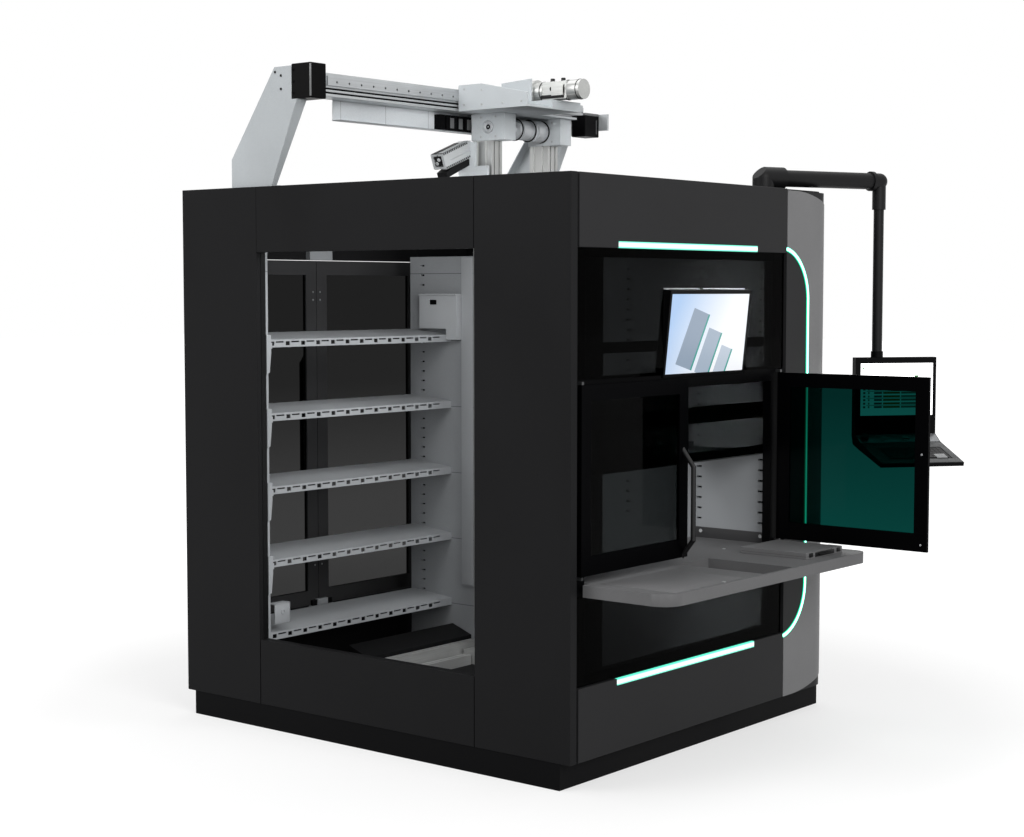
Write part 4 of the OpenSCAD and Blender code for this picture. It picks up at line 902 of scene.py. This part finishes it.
# Operator arm: a swivelling painted tube on a flanged foot, with a drop tube that
# carries the panel's moulded housing.
arm_coat = painted("arm_coat", "151516", 0.15)
dress(arm_coat, "arm_base", "arm_tube")
dress(black_plastic, "console_housing")
ARM_FOOT_X = 1770
ARM_FOOT_Y = 200
FLANGE_TOP = 2512
SCREW_CIRCLE = 62
screw_heads("arm_foot_screws", [(ARM_FOOT_X + SCREW_CIRCLE * math.cos(a),
                                 ARM_FOOT_Y + SCREW_CIRCLE * math.sin(a), FLANGE_TOP)
                                for a in (math.pi * k / 3 for k in (2, 3, 4))],
            (0, 0, 1), 5, 1.2, screw_steel, "cabinet")

# Operator panel: a lit screen with a plain table of coloured rows, a brushed
# control strip with ringed push-buttons and a stop knob, and a keyboard tray.
PANEL_FOOT = (1.34169, -1.23402, 0.0)
PANEL_TURN = math.radians(-38)
CONSOLE = Matrix.Translation(PANEL_FOOT) @ Matrix.Rotation(PANEL_TURN, 4, "Z")
STRIP = CONSOLE @ Matrix.Translation((0, -0.050, 1.298)) @ Matrix.Rotation(math.atan2(36, 60), 4, "X")
TRAY = CONSOLE @ Matrix.Translation((0, -0.080, 1.280)) @ Matrix.Rotation(math.atan2(80, 260), 4, "X")
key_black = painted("key_black", "1c1c1d", 0.2, 0.1, 1500.0)
stop_black = painted("stop_black", "1a1a1b", 0.3, 0.1, 1500.0)
tray_grey = painted("tray_grey", "4b4c4d", 0.2, 0.08, 900.0)
pad_grey = painted("pad_grey", "8b8c8d", 0.25, 0.06, 900.0)
strip_metal = drawn("strip_metal", "8f9193", (6.0, 300.0, 300.0), 0.6)
button_metal = drawn("button_metal", "b9bbba", (200.0, 200.0, 200.0), 0.85)
dress(key_black, "keyboard")
dress(stop_black, "emergency_stop")
dress(button_metal, "control_button_left", "control_button_right")
ease_edges(0.0012, "emergency_stop", "control_button_left", "control_button_right")
shape = bmesh.new()
CONTROLS = (-82, 18, 135)
STEM_ROOM = 16
lefts = [-116] + [u + STEM_ROOM for u in CONTROLS]
rights = [u - STEM_ROOM for u in CONTROLS] + [306]
for left, right_end in zip(lefts, rights):
    bar(shape, (left, -34, -0.2), (right_end, 34, 1.0), STRIP, 0.4)
for u in CONTROLS:
    bar(shape, (u - STEM_ROOM, STEM_ROOM, -0.2), (u + STEM_ROOM, 34, 1.0), STRIP, 0.1)
    bar(shape, (u - STEM_ROOM, -34, -0.2), (u + STEM_ROOM, -STEM_ROOM, 1.0), STRIP, 0.1)
piece("control_strip", shape, strip_metal, "console")
shape = bmesh.new()
BUTTON_RING = [(19, -0.2), (19, 3), (18, 4), (16, 4), (15.5, 3), (15.5, -0.2)]
for u in CONTROLS[1:]:
    turned(shape, (u, 0, 0), (0, 0, 1), BUTTON_RING, STRIP, 32, True)
piece("button_rings", shape, button_metal, "console")
shape = bmesh.new()
for low, high in (((-116, -70, -0.2), (306, -4, 1)), ((-116, -266, -0.2), (306, -220, 1)),
                  ((-116, -221, -0.2), (-55, -69, 1)), ((275, -221, -0.2), (306, -69, 1))):
    bar(shape, low, high, TRAY, 0.3)
piece("tray_cover", shape, tray_grey, "console")
shape = bmesh.new()
bar(shape, (196, -212, -0.4), (252, -164, 3.8), TRAY, 1.0)
piece("touch_pad", shape, pad_grey, "console")
console_glow, tree, shader = lit_panel("console_glow", 3.0)
side = across(tree, PANEL_FOOT, (math.cos(PANEL_TURN), math.sin(PANEL_TURN), 0))
up = across(tree, (0, 0, 0), (0, 0, 1))


def dimmed(code, share):
    """A colour of the table at its share of the screen's full glow."""
    return tuple(part * share for part in tint(code)[:3]) + (1.0,)


rows = ruled(tree, (0, 0, 1), 1.452, 0.0175, 0.0050)
table = within(tree, up, 1.447, 1.566)
body_rows = maths(tree, "MULTIPLY", rows, table)
picture = over(tree, (1, 1, 1, 1), within(tree, up, 1.588, 1.590), dimmed("9aa3a6", 0.25))
COLUMNS = ((-0.078, -0.066, "7d8f7e", 0.3), (-0.052, -0.044, "b9c9a0", 0.35),
           (-0.020, 0.022, "8d9193", 0.3), (0.028, 0.118, "e08a2e", 0.45),
           (0.124, 0.270, "a9bfae", 0.35))
for low, high, colour, share in COLUMNS:
    picture = over(tree, picture, maths(tree, "MULTIPLY", body_rows, within(tree, side, low, high)),
                   dimmed(colour, share))
thin = ruled(tree, (0, 0, 1), 1.4607, 0.0350, 0.0012)
thin_rows = maths(tree, "MULTIPLY", thin, table)
thin_rows = maths(tree, "MULTIPLY", thin_rows, within(tree, side, -0.06, 0.27))
picture = over(tree, picture, thin_rows, dimmed("2f8f4a", 0.25))
MARKS = ((-0.082, -0.074, 1.640, 1.650, "18a83a", 0.25), (-0.055, -0.020, 1.636, 1.640, "cfe08a", 0.4),
         (-0.012, 0.020, 1.636, 1.640, "e6d37a", 0.4), (0.195, 0.215, 1.598, 1.608, "1f7f33", 0.25))
for low, high, bottom, top, colour, share in MARKS:
    mark = maths(tree, "MULTIPLY", within(tree, side, low, high), within(tree, up, bottom, top))
    picture = over(tree, picture, mark, dimmed(colour, share))
tree.links.new(picture, shader.inputs["Emission Color"])
dress(console_glow, "console_screen")
